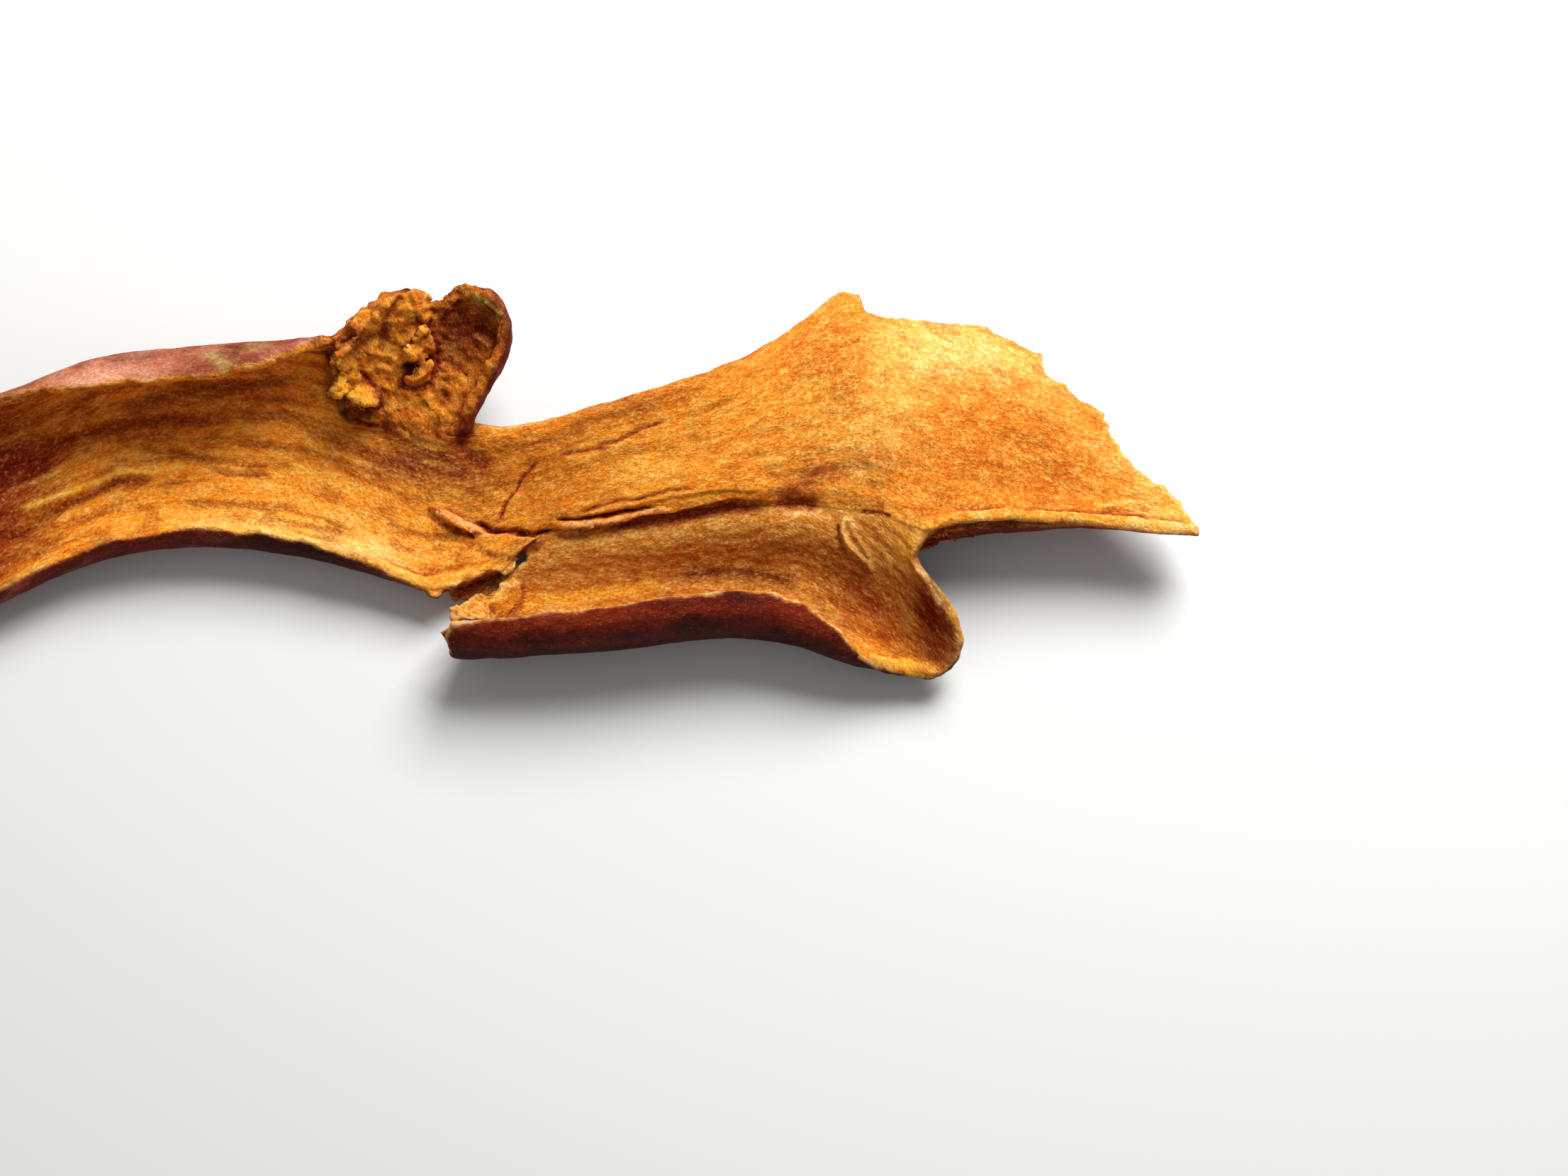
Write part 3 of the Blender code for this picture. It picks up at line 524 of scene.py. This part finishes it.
# Ramps: from and to which value of the grain or of the share of flesh, and what they give there, or 0 and 1.
COARSE_POWER = (0.34, 0.66, 0.34, -0.2)
FINE_POWER = (0.34, 0.66, 1.2, 0.86)
POWER_BY_FLESH = (0.0, 1.0, 0.5, 1.0)
FINE_VALUE = (0.34, 0.66, 0.81, 1.14)
DUST_VALUE = (0.32, 0.68, 0.88, 1.1)
PITS = (0.36, 0.26)
PITS_BY_FLESH = (0.2, 0.8, 0.2, 0.5)
FLECKS = (0.61, 0.7)
FLECK_STRENGTH = 0.45
SPECKS = (0.68, 0.76)
SPECKS_BY_FLESH = (0.0, 1.0, 0.35, 0.0)
ROUGHNESS = (0.3, 0.7, 0.62, 0.82)
SPECULAR = 0.12
# Light that goes into the flesh and comes out again: its share, how far each colour goes, and the depth.
SOFTNESS = 0.2
SOFT_COLOUR = (1.0, 0.35, 0.12)
SOFT_DEPTH = 0.6
# How high the grain stands, too fine for the mesh.
COARSE_BUMP = 0.2
FINE_BUMP = 0.1
DUST_BUMP = 0.03

# The paper, the room's light and the window's.
FLOOR_SIDE = 3000
PAPER = (0.85, 0.87, 0.88)
PAPER_ROUGHNESS = 0.9
ROOM_COLOUR = (1.0, 0.97, 0.94)
ROOM_STRENGTH = 0.25
WINDOW_PLACE = (95, 180, 210)
WINDOW_SIZE = 150
WINDOW_POWER = 1.24
WINDOW_COLOUR = (1.0, 0.98, 0.95)


def smoothstep(low, high, x):
    """A smooth rise from 0 at low to 1 at high."""
    t = np.clip((x - low) / (high - low), 0, 1)
    return t * t * (3 - 2 * t)


def noisy(points, size, octaves, shift):
    """Smooth noise from about -1 to 1 at each point, with lumps of this size along each axis."""
    scaled = points / np.asarray(size, float) + shift
    return np.array([noise.fractal(p, 1.0, 2.0, octaves) for p in scaled.tolist()])


def wandering(flow, size, shift_x, shift_y):
    """How far marks wander over the photo plane along x and y, from about -1 to 1."""
    ways = [noisy(flow, size, WANDER_OCTAVES, shift) for shift in (shift_x, shift_y)]
    return np.stack(ways, axis=1)


def nearest_on_line(points, line):
    """For each point the nearest one on a polyline, its distance, how far along, and the line's heading."""
    line = np.asarray(line, float)
    spans = np.linalg.norm(np.diff(line, axis=0), axis=1)
    starts = np.concatenate(([0], np.cumsum(spans)))
    best = np.full(len(points), np.inf)
    foot = np.zeros_like(points)
    along = np.zeros(len(points))
    heading = np.zeros_like(points)
    for a, b, span, start in zip(line, line[1:], spans, starts):
        share = np.clip((points - a) @ (b - a) / span ** 2, 0, 1)
        here = a + share[:, None] * (b - a)
        distance = np.linalg.norm(points - here, axis=1)
        closer = distance < best
        best[closer] = distance[closer]
        foot[closer] = here[closer]
        along[closer] = start + share[closer] * span
        heading[closer] = (b - a) / span
    return foot, best, along / starts[-1], heading


def inside_outline(points, outline):
    """Which plan points lie inside a closed outline."""
    x, y = points[:, 0], points[:, 1]
    inside = np.zeros(len(points), bool)
    for (ax, ay), (bx, by) in zip(outline, outline[1:] + outline[:1]):
        if ay == by:
            continue
        crossing = ((ay > y) != (by > y)) & (x < (bx - ax) * (y - ay) / (by - ay) + ax)
        inside ^= crossing
    return inside


class Surface:
    """A mesh as arrays, with its points on the plan."""

    def __init__(self, mesh):
        self.mesh = mesh
        count = len(mesh.vertices)
        flat = np.empty(count * 3)
        mesh.vertices.foreach_get("co", flat)
        self.points = flat.reshape(-1, 3) / MM + PLAN_MIDDLE
        pairs = np.empty(len(mesh.edges) * 2, np.int64)
        mesh.edges.foreach_get("vertices", pairs)
        self.edges = pairs.reshape(-1, 2)
        self.degree = np.bincount(self.edges.ravel(), minlength=count)

    def store(self):
        self.mesh.vertices.foreach_set("co", ((self.points - PLAN_MIDDLE) * MM).ravel())
        self.mesh.update()

    def lift(self):
        """Keeps every point on or above the floor, and stores them."""
        self.points[:, 2] = np.maximum(self.points[:, 2], 0.0)
        self.store()

    def normals(self):
        self.store()
        flat = np.empty(len(self.points) * 3)
        self.mesh.vertex_normals.foreach_get("vector", flat)
        return flat.reshape(-1, 3)

    def around(self, values):
        """The mean of each point's neighbours."""
        a, b = self.edges.T
        count = len(values)
        columns = values.reshape(count, -1).T
        sums = [np.bincount(a, v[b], count) + np.bincount(b, v[a], count) for v in columns]
        return (np.array(sums) / self.degree).T.reshape(values.shape)

    def spread(self, values, rounds):
        """The values after so many rounds of mixing with the neighbours'."""
        for _ in range(rounds):
            values = 0.5 * values + 0.5 * self.around(values)
        return values

    def take_off_facets(self, rounds):
        """Smooths without shrinking: each round pulls in and then pushes out a little more."""
        for _ in range(rounds):
            for pull in PULLS:
                self.points += pull * (self.around(self.points) - self.points)


def solid_copy(node, name):
    """A copy of a solid's mesh with its points joined up again."""
    obj = bpy.data.objects.new(name, node.data.copy())
    bpy.context.scene.collection.objects.link(obj)
    obj.data.materials.clear()
    weld = obj.modifiers.new("weld", "WELD")
    weld.merge_threshold = WELD * MM
    apply_modifiers(obj)
    return obj


def remesh(obj, cell):
    """Makes the object's mesh anew in even cells, with all that overlaps in it as one solid."""
    cells = obj.modifiers.new("cells", "REMESH")
    cells.mode = "VOXEL"
    cells.voxel_size = cell * MM
    apply_modifiers(obj)


def behind(x, y, height):
    """The plan point at a height that the photograph's camera sees at a place on the photo plane."""
    reach = (CAMERA[2] - height) / (CAMERA[2] - PLANE_HEIGHT)
    place = CAMERA[:2] + (np.array((x, y)) - CAMERA[:2]) * reach
    return np.array((*place, height))


def add_scrap(shape, outline, thickness, wander_by, tips=()):
    """Adds a closed plate with this upper outline, its edge broken up; it thins out towards its tips."""
    corners = [behind(*spot) for spot in outline]
    top = []
    for a, b in zip(corners, corners[1:] + corners[:1]):
        parts = max(1, round(np.linalg.norm(b - a) / SCRAP_PITCH))
        for k in range(parts):
            spot = a + (b - a) * k / parts
            lumps = spot * SCRAP_LUMPS
            wander = Vector((noise.noise(lumps), noise.noise(lumps + SCRAP_SHIFT), 0))
            top.append(Vector(spot) + wander_by * wander)
    shares = []
    for spot in top:
        reaches = [RUN_OUT_LEAST + (spot - Vector(tip)).length / RUN_OUT for tip in tips]
        shares.append(min([1.0, *reaches]))
    top.append(sum(top, Vector()) / len(top))
    shares.append(1.0)
    rings = []
    for drop in (0, thickness):
        moves = [Vector((*PLAN_MIDDLE[:2], share * drop)) for share in shares]
        *ring, centre = [shape.verts.new((spot - move) * MM) for spot, move in zip(top, moves)]
        sides = list(zip(ring, ring[1:] + ring[:1]))
        for a, b in sides:
            shape.faces.new((a, b, centre))
        rings.append(sides)
    for (a, b), (c, d) in zip(*rings):
        shape.faces.new((a, c, d, b))


def splinter_outline(line, half_width):
    """The outline of a splinter that narrows to its ends."""
    line = np.array(line)
    ways = np.gradient(line[:, :2], axis=0)
    ways /= np.linalg.norm(ways, axis=1)[:, None]
    side = np.column_stack((-ways[:, 1], ways[:, 0], np.zeros(len(line)))) * half_width
    side[0] *= END_WIDTH
    side[-1] *= END_WIDTH
    return np.concatenate((line + side, (line - side)[::-1])).tolist()


def add_torn_flesh(obj):
    """Adds the scraps, splinters and lips to the object, as closed plates that overlap it."""
    shape = bmesh.new()
    shape.from_mesh(obj.data)
    for outline, thickness in SCRAPS:
        add_scrap(shape, outline, thickness, SCRAP_WANDER)
    for line, half_width, thickness in SPLINTERS:
        add_scrap(shape, splinter_outline(line, half_width), thickness, SPLINTER_WANDER)
    for line, half_width, thickness in HANGING_LIPS:
        add_scrap(shape, splinter_outline(line, half_width), thickness, SPLINTER_WANDER,
                  (behind(*line[0]), behind(*line[-1])))
    shape.to_mesh(obj.data)
    shape.free()


def apply_modifiers(obj):
    """Gives the object the mesh that its modifiers make of it."""
    graph = bpy.context.evaluated_depsgraph_get()
    mesh = bpy.data.meshes.new_from_object(obj.evaluated_get(graph), depsgraph=graph)
    obj.modifiers.clear()
    obj.data = mesh


def photo_plane(points):
    """Where the photograph's camera sees each plan point on the photo plane."""
    reach = (CAMERA[2] - PLANE_HEIGHT) / (CAMERA[2] - points[:, 2])
    return CAMERA[:2] + (points[:, :2] - CAMERA[:2]) * reach[:, None]


def smooth_curve(spots, x):
    """The height at each x of a smooth curve through these spots."""
    xs, ys = np.transpose(spots)
    slopes = np.gradient(ys, xs)
    k = np.clip(np.searchsorted(xs, x) - 1, 0, len(xs) - 2)
    span = xs[k + 1] - xs[k]
    t = np.clip((x - xs[k]) / span, 0, 1)
    ends = ys[k] + (ys[k + 1] - ys[k]) * t * t * (3 - 2 * t)
    return ends + span * t * (1 - t) * (slopes[k] * (1 - t) - slopes[k + 1] * t)


def grain(points, in_fold, stub):
    """Coordinates along the grain, across it and in depth, in millimetres."""
    x, y, z = points.T
    low = smooth_curve(LOWER_EDGE, x)
    high = smooth_curve(UPPER_EDGE, x)
    across = (y - (low + high) / 2) / ((high - low) / USUAL_WIDTH) ** WIDTH_POWER
    across_fold = y - smooth_curve(FOLD_MIDDLE, x)
    along = x + STUB_STRETCH * stub * (x - STUB_MIDDLE)
    return np.stack((along, np.where(in_fold, across_fold, across), z), axis=1)


def facing(points, normals, target):
    """How squarely each point's normal looks at a target, from -1 to 1."""
    sight = target - points
    return (normals * sight).sum(1) / np.linalg.norm(sight, axis=1)


def close_to(seen, line, reach):
    """Which points on the photo plane may be within reach of a line."""
    return np.all((seen > np.min(line, 0) - reach) & (seen < np.max(line, 0) + reach), axis=1)


def fade_at_ends(along, ends):
    """1 along a line, fading to 0 at its two ends."""
    return smoothstep(0, ends, along) * smoothstep(0, ends, 1 - along)


def on_line(seen, line, width):
    """1 on a line on the photo plane, fading to 0 at a few half widths from it and towards its ends."""
    shape = np.zeros(len(seen))
    near = close_to(seen, line, FADED * width)
    _, distance, along, _ = nearest_on_line(seen[near], line)
    shape[near] = np.exp(-(distance / width) ** 2) * fade_at_ends(along, LINE_ENDS)
    return shape


def over_step(seen, line, rise, drop, reach_left, reach_right):
    """The height of a step along a line: a rise on the left of its heading and a drop on its right."""
    height = np.zeros(len(seen))
    near = close_to(seen, line, FADED * max(reach_left, reach_right))
    foot, _, along, heading = nearest_on_line(seen[near], line)
    off = seen[near] - foot
    side = heading[:, 0] * off[:, 1] - heading[:, 1] * off[:, 0]
    beyond = np.abs((off * heading).sum(1))
    left = rise * np.exp(-(side / reach_left) ** 2)
    right = -drop * np.exp(-(side / reach_right) ** 2)
    mix = smoothstep(-STEP_EDGE, STEP_EDGE, side)
    fade = fade_at_ends(along, STEP_ENDS) * np.exp(-(beyond / STEP_BEYOND) ** 2)
    height[near] = (left * mix + right * (1 - mix)) * fade
    return height


def on_patch(seen, x, y, half_length, half_width, turn):
    """1 in the middle of an oval patch on the photo plane, fading to 0 round it."""
    angle = math.radians(turn)
    dx, dy = seen[:, 0] - x, seen[:, 1] - y
    along = (dx * math.cos(angle) + dy * math.sin(angle)) / half_length
    across = (dy * math.cos(angle) - dx * math.sin(angle)) / half_width
    return np.exp(-(along ** 2 + across ** 2))


class Places:
    """What each point of the fine mesh is part of."""

    def __init__(self, surface):
        points = surface.points
        normals = surface.normals()
        self.in_fold = inside_outline(points, FOLD_OUTLINE)
        self.in_stub = inside_outline(points, STUB_OUTLINE) & ~self.in_fold
        looks = np.zeros(len(points))
        for axis, here in ((STRIP_AXIS, True), (FOLD_AXIS, self.in_fold), (STUB_AXIS, self.in_stub)):
            target = nearest_on_line(points, axis)[0]
            looks = np.where(here, facing(points, normals, target), looks)
        self.inner = surface.spread(smoothstep(*FLESH_LOOKS, looks), SKIN_DEPTH_ROUNDS)
        self.outward = points - surface.spread(points, RIM_ROUNDS)
        bulge = (self.outward * normals).sum(1)
        self.rim = smoothstep(*RIM_BULGE, bulge)
        self.hollow = smoothstep(*HOLLOW_BULGE, -bulge)
        off = np.linalg.norm(self.outward, axis=1)
        self.near_rim = smoothstep(*NEAR_RIM, off)
        self.edge_line = smoothstep(*EDGE_LINE, off)
        self.open = smoothstep(*OPEN_SIDE, facing(points, normals, CAMERA))
        self.seen = photo_plane(points)
        self.normals = normals
        self.height = points[:, 2]
        self.stub = surface.spread(self.in_stub.astype(float), STUB_ROUNDS)
        self.flow = grain(points, self.in_fold, self.stub)
        torn = [np.exp(-(nearest_on_line(points[:, :2], line)[1] / TORN_REACH) ** 2) for line in TORN_EDGES]
        self.torn = np.max(torn, axis=0)
        self.wander = wandering(self.flow, *MARK_WANDER)


def wall_under(obj, places):
    """How thick the wall is under each point."""
    tree = BVHTree.FromObject(obj, bpy.context.evaluated_depsgraph_get())
    starts = np.array([v.co for v in obj.data.vertices])
    ways = -places.normals
    starts += ways * LOOK_START * MM
    depths = np.full(len(starts), MOST_WALL)
    for k, (start, way) in enumerate(zip(starts.tolist(), ways.tolist())):
        distance = tree.ray_cast(start, way, MOST_WALL * MM)[3]
        if distance is not None:
            depths[k] = distance / MM
    return depths


def swell(flow, tall, *lumps):
    """Relief of round lumps."""
    return tall * noisy(flow, *lumps)


def folds(flow, tall, crest, *lumps):
    """Relief of folds with sharp crests."""
    return tall * (crest - np.abs(noisy(flow, *lumps)))


def relief(places):
    """How far each point stands out of the smooth sheet, with the edges' wander left out."""
    flow, seen = places.flow, places.seen
    flesh = places.inner * (1 - places.stub)
    height = swell(flow, *FLESH_SWELL) * flesh
    height += folds(flow, *FLESH_FOLDS) * flesh
    height += swell(flow, *FLESH_GRAIN) * places.inner
    outer = 1 - places.inner
    height += swell(flow, *SKIN_SWELL) * outer
    height += swell(flow, *SKIN_GRAIN) * outer
    crumbs = places.stub * smoothstep(*CRUMBS, places.inner)
    height += crumbs * (swell(flow, *STUB_LUMPS) + folds(flow, *STUB_FOLDS) * smoothstep(*LOBE, seen[:, 0]))
    height += crumbs * swell(flow, *STUB_GRAIN)
    ragged = seen + RAGGED * places.wander
    marks = np.zeros(len(seen))
    for line, tall, width in GROOVES + RIDGES:
        marks += tall * on_line(ragged, line, width)
    for step in STEPS:
        marks += over_step(ragged, *step)
    for *oval, tall in LUMPS:
        marks += tall * on_patch(ragged, *oval)
    height += marks * places.inner * places.open
    return np.clip(height, *RELIEF_LIMITS)


def nudge(surface):
    """Pushes the sheet to where the photograph shows it."""
    seen = photo_plane(surface.points)
    for x, y, reach, dx, dy in NUDGES:
        weight = on_patch(seen, x, y, reach, reach, 0)
        surface.points += weight[:, None] * (dx, dy, 0)


def edge_wander(places):
    """How far each point of a rim moves out or in along the sheet."""
    way = places.outward / np.maximum(np.linalg.norm(places.outward, axis=1), LEAST_WAY)[:, None]
    torn = noisy(places.flow, *TORN_NOISE) * TORN_WANDER * places.torn
    grown = noisy(places.flow, *RIM_NOISE) * RIM_WANDER * (1 - places.torn)
    return way * (places.near_rim * (torn + grown))[:, None]


def linear(colour):
    """A colour as it looks, as the light it reflects."""
    colour = np.clip(colour, 0, 1)
    return np.where(colour <= 0.04045, colour / 12.92, ((colour + 0.055) / 1.055) ** 2.4)


def tinted(paint, colour, weight):
    """The paint with a share of this colour in it at each point."""
    return paint + (np.asarray(colour) - paint) * np.clip(weight, 0, 1)[:, None]


def patched(paint, places, ragged, patches):
    """The paint with soft patches of colour where the camera sees it."""
    for *oval, colour, strength in patches:
        paint = tinted(paint, colour, strength * on_patch(ragged, *oval) * places.open)
    return paint


def flesh_paint(places, ragged, left):
    """The colour of the inner face, with painted shade and highlight in places."""
    flow, seen = places.flow, places.seen
    flesh = tinted(np.tile(OCHRE, (len(seen), 1)), ORANGE, RIGHT_ORANGE * (1 - left))
    flesh = tinted(flesh, OLIVE, FOLD_OLIVE * places.in_fold)
    flesh = tinted(flesh, ORANGE, STUB_ORANGE * places.stub)
    flesh = patched(flesh, places, ragged, FLESH_PATCHES_AND_PAINTED_LIGHT)
    for *lumps, colour, strength, more_left, low, high in FLESH_NOISE:
        where = smoothstep(low, high, noisy(flow, *lumps))
        flesh = tinted(flesh, colour, (strength + more_left * left) * where)
    sharp = seen + RAGGED * places.wander
    for line, width, colour, strength in FLESH_LINES_AND_PAINTED_SHADE:
        flesh = tinted(flesh, colour, strength * on_line(sharp, line, width) * places.open)
    # Painted shade in the hollows, stronger on the stub.
    strength, more_stub = HOLLOW_SHADE
    flesh = tinted(flesh, DARK_RED, (strength + more_stub * places.stub) * places.hollow)
    # Painted shade on the deep pocket's floor, whose flesh is dark red there too.
    return tinted(flesh, DARK_RED, on_patch(seen, *SHADED_POCKET) * smoothstep(*POCKET_DEPTH, places.height))


def skin_paint(places, ragged):
    """The colour of the outer face, with painted shade in places."""
    skin = np.tile(SKIN, (len(places.seen), 1))
    strength, low, high = BLOTCHES
    skin = tinted(skin, SKIN_DARK, strength * smoothstep(low, high, noisy(places.flow, *BLOTCH_NOISE)))
    # Painted shade on the fold's skin, darker towards the paper.
    strength, low, high = FOLD_SHADE
    skin = tinted(skin, SKIN_DARK, strength * places.in_fold * smoothstep(low, high, places.height))
    strength, low, high = BLOOMING
    bloom = strength * smoothstep(low, high, noisy(places.flow, *BLOOM_NOISE))
    skin = tinted(skin, BLOOM, bloom * ~places.in_fold)
    return patched(skin, places, ragged, SKIN_PATCHES_AND_PAINTED_SHADE)


def painted(places, fall):
    """The colour of each point without its finest grain. Its fall is its height over its surroundings."""
    ragged = places.seen + PATCH_RAGGED * wandering(places.flow, *PATCH_WANDER)
    left = smoothstep(*LEFT_PART, places.flow[:, 0])
    skin = skin_paint(places, ragged)
    flesh = flesh_paint(places, ragged, left)
    paint = skin + (flesh - skin) * places.inner[:, None]
    fall = fall * smoothstep(*FALL_FLESH, places.inner)
    # Painted shade in the lows and painted highlight on the rises.
    for colour, strength, more_stub, low, high in FALL_SHADE_AND_HIGHLIGHT:
        paint = tinted(paint, colour, (strength + more_stub * places.stub) * smoothstep(low, high, fall))
    edge = places.edge_line * smoothstep(*RIM_UNBROKEN, noisy(places.flow, *RIM_BREAKS))
    cream = np.maximum(EDGE_CREAM * edge, TORN_CREAM * places.torn * places.near_rim * (1 - places.stub))
    cream *= 1 - LEFT_CREAM_LOSS * left * (1 - places.in_fold)
    paint = tinted(paint, CREAM, cream * (1 - STUB_CREAM_LOSS * places.stub))
    for line, width, colour, strength in SKIN_LINES:
        paint = tinted(paint, colour, strength * on_line(places.seen, line, width))
    return paint


class Nodes:
    """Builds a material's node tree in a few words."""

    def __init__(self, name):
        self.material = bpy.data.materials.new(name)
        self.material.use_nodes = True
        self.tree = self.material.node_tree
        self.shader = self.tree.nodes["Principled BSDF"]

    def add(self, kind, inputs=(), **settings):
        node = self.tree.nodes.new(kind)
        for key, value in settings.items():
            setattr(node, key, value)
        for socket, value in dict(inputs).items():
            if isinstance(value, bpy.types.NodeSocket):
                self.tree.links.new(value, node.inputs[socket])
            else:
                node.inputs[socket].default_value = value
        return node

    def attribute(self, name, output):
        return self.add("ShaderNodeAttribute", attribute_name=name).outputs[output]

    def math(self, operation, a, b):
        return self.add("ShaderNodeMath", {0: a, 1: b}, operation=operation).outputs[0]

    def noise(self, vector, size, detail, roughness, shift):
        """Noise from 0 to 1 with lumps of this size in millimetres along each axis of the coordinates."""
        scale = [1 / s for s in size]
        spot = self.add("ShaderNodeMapping", {"Vector": vector, "Scale": scale, "Location": (shift,) * 3})
        inputs = {"Vector": spot.outputs[0], "Scale": 1.0, "Detail": detail, "Roughness": roughness}
        return self.add("ShaderNodeTexNoise", inputs).outputs["Fac"]

    def ramp(self, value, low, high, to_low=0.0, to_high=1.0):
        """A smooth ramp between two values, and what it gives at each."""
        inputs = {"Value": value, "From Min": low, "From Max": high, "To Min": to_low, "To Max": to_high}
        return self.add("ShaderNodeMapRange", inputs, interpolation_type="SMOOTHSTEP").outputs["Result"]

    def mix(self, factor, a, b, blend="MIX"):
        inputs = {0: factor, 6: a, 7: b}
        return self.add("ShaderNodeMix", inputs, data_type="RGBA", blend_type=blend).outputs[2]

    def link(self, output, socket):
        self.tree.links.new(output, self.shader.inputs[socket])

    def set(self, socket, value):
        self.shader.inputs[socket].default_value = value


def opaque(colour):
    return (*linear(np.array(colour)), 1.0)


def cortex_material():
    """The paint with its finest grain, which is stronger and flecked on the flesh and weaker on the skin."""
    n = Nodes("cortex")
    flow = n.attribute("flow", "Vector")
    paint = n.attribute("paint", "Color")
    inner = n.attribute("inner", "Fac")
    coarse, fine, dust = (n.noise(flow, *made) for made in (COARSE, FINE, DUST))
    # A power darkens the flesh towards red and lightens it towards yellow.
    power = n.math("ADD", n.ramp(coarse, *COARSE_POWER), n.ramp(fine, *FINE_POWER))
    power = n.math("POWER", power, n.ramp(inner, *POWER_BY_FLESH))
    base = n.add("ShaderNodeGamma", {"Color": paint, "Gamma": power}).outputs[0]
    value = n.math("MULTIPLY", n.ramp(fine, *FINE_VALUE), n.ramp(dust, *DUST_VALUE))
    base = n.mix(1.0, base, value, "MULTIPLY")
    pits = n.math("MULTIPLY", n.ramp(dust, *PITS), n.ramp(inner, *PITS_BY_FLESH))
    base = n.mix(pits, base, opaque(DARK_RED))
    flecks = n.math("MULTIPLY", n.ramp(fine, *FLECKS), n.math("MULTIPLY", inner, FLECK_STRENGTH))
    base = n.mix(flecks, base, opaque(FLECK))
    specks = n.math("MULTIPLY", n.ramp(dust, *SPECKS), n.ramp(inner, *SPECKS_BY_FLESH))
    base = n.mix(specks, base, opaque(BLOOM))
    n.link(base, "Base Color")
    n.link(n.ramp(coarse, *ROUGHNESS), "Roughness")
    n.set("Specular IOR Level", SPECULAR)
    n.set("Subsurface Weight", SOFTNESS)
    n.set("Subsurface Radius", SOFT_COLOUR)
    n.set("Subsurface Scale", SOFT_DEPTH * MM)
    height = n.math("ADD", n.math("MULTIPLY", coarse, COARSE_BUMP), n.math("MULTIPLY", fine, FINE_BUMP))
    height = n.math("ADD", height, n.math("MULTIPLY", dust, DUST_BUMP))
    bump = n.add("ShaderNodeBump", {"Height": height, "Distance": MM, "Strength": 1.0})
    n.link(bump.outputs[0], "Normal")
    return n.material


def set_attribute(mesh, name, kind, values):
    """Stores a value for each point under this name."""
    attribute = mesh.attributes.new(name, kind, "POINT")
    field = {"FLOAT": "value", "FLOAT_VECTOR": "vector", "FLOAT_COLOR": "color"}[kind]
    attribute.data.foreach_set(field, np.ascontiguousarray(values, np.float32).ravel())


def thin_out(obj, fine):
    """Takes out triangles, fewest where the surface is to stay fine."""
    group = obj.vertex_groups.new(name="plain")
    levels = np.round(FINE_LEVELS * fine).astype(int)
    for level in range(FINE_LEVELS + 1):
        group.add(np.flatnonzero(levels == level).tolist(), 1 - level / (2 * FINE_LEVELS), "REPLACE")
    total = sum(len(p.vertices) - 2 for p in obj.data.polygons)
    fewer = obj.modifiers.new("fewer", "DECIMATE")
    fewer.ratio = min(1.0, TRIANGLES / total)
    fewer.vertex_group = group.name
    fewer.vertex_group_factor = FINE_PULL
    apply_modifiers(obj)
    obj.vertex_groups.clear()


def make_rhizome():
    obj = solid_copy(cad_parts["rhizome"], "dried_rhizome")
    remesh(obj, FIRST_CELL)
    Surface(obj.data).take_off_facets(FACET_ROUNDS)
    add_torn_flesh(obj)
    remesh(obj, CELL)
    surface = Surface(obj.data)
    surface.take_off_facets(SCRAP_ROUNDS)
    nudge(surface)
    places = Places(surface)
    height = relief(places)
    carved = np.where(places.inner > 0.5, CARVED_INNER, CARVED_OUTER) * wall_under(obj, places)
    surface.points += places.normals * np.maximum(height, -carved)[:, None] + edge_wander(places)
    surface.lift()
    paint = painted(places, height - surface.spread(height, FALL_ROUNDS))
    tree = KDTree(len(surface.points))
    for k, point in enumerate(surface.points.tolist()):
        tree.insert(point, k)
    tree.balance()
    thin_out(obj, np.maximum(places.inner * places.open, RIM_FINENESS * places.rim))
    kept = Surface(obj.data)
    kept.lift()
    source = np.array([tree.find(point)[1] for point in kept.points.tolist()])
    paint = np.column_stack((linear(paint[source]), np.ones(len(source))))
    set_attribute(obj.data, "paint", "FLOAT_COLOR", paint)
    set_attribute(obj.data, "flow", "FLOAT_VECTOR", places.flow[source])
    set_attribute(obj.data, "inner", "FLOAT", places.inner[source])
    obj.data.shade_smooth()
    obj.data.materials.clear()
    obj.data.materials.append(cortex_material())
    return obj


def make_floor():
    bpy.ops.mesh.primitive_plane_add(size=FLOOR_SIDE * MM)
    floor = bpy.context.object
    floor.name = "paper"
    n = Nodes("paper")
    n.set("Base Color", (*PAPER, 1))
    n.set("Roughness", PAPER_ROUGHNESS)
    floor.data.materials.append(n.material)


def set_up(name, data, place, target):
    """Adds a camera or a light at a place, turned to its target."""
    obj = bpy.data.objects.new(name, data)
    obj.location = place
    obj.rotation_euler = (target - place).to_track_quat("-Z", "Y").to_euler()
    bpy.context.scene.collection.objects.link(obj)
    return obj


def make_camera():
    data = bpy.data.cameras.new("camera")
    data.sensor_width = SENSOR
    data.lens = SENSOR / PHOTO_SPAN * CAMERA_DISTANCE
    data.clip_start = CLIP_START * MM
    place = Vector((CAMERA - PLAN_MIDDLE) * MM)
    target = Vector((np.array((0.0, 0.0, PLANE_HEIGHT)) - PLAN_MIDDLE) * MM)
    bpy.context.scene.camera = set_up("camera", data, place, target)


def make_light():
    world = bpy.data.worlds.new("studio")
    world.use_nodes = True
    background = world.node_tree.nodes["Background"]
    background.inputs["Color"].default_value = (*ROOM_COLOUR, 1)
    background.inputs["Strength"].default_value = ROOM_STRENGTH
    bpy.context.scene.world = world
    data = bpy.data.lights.new("window", "AREA")
    data.size = WINDOW_SIZE * MM
    data.energy = WINDOW_POWER
    data.color = WINDOW_COLOUR
    set_up("window", data, Vector(WINDOW_PLACE) * MM, Vector())
    bpy.context.scene.view_settings.view_transform = "Standard"


rhizome = make_rhizome()
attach(rhizome, "root")
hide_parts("rhizome")
make_floor()
make_camera()
make_light()
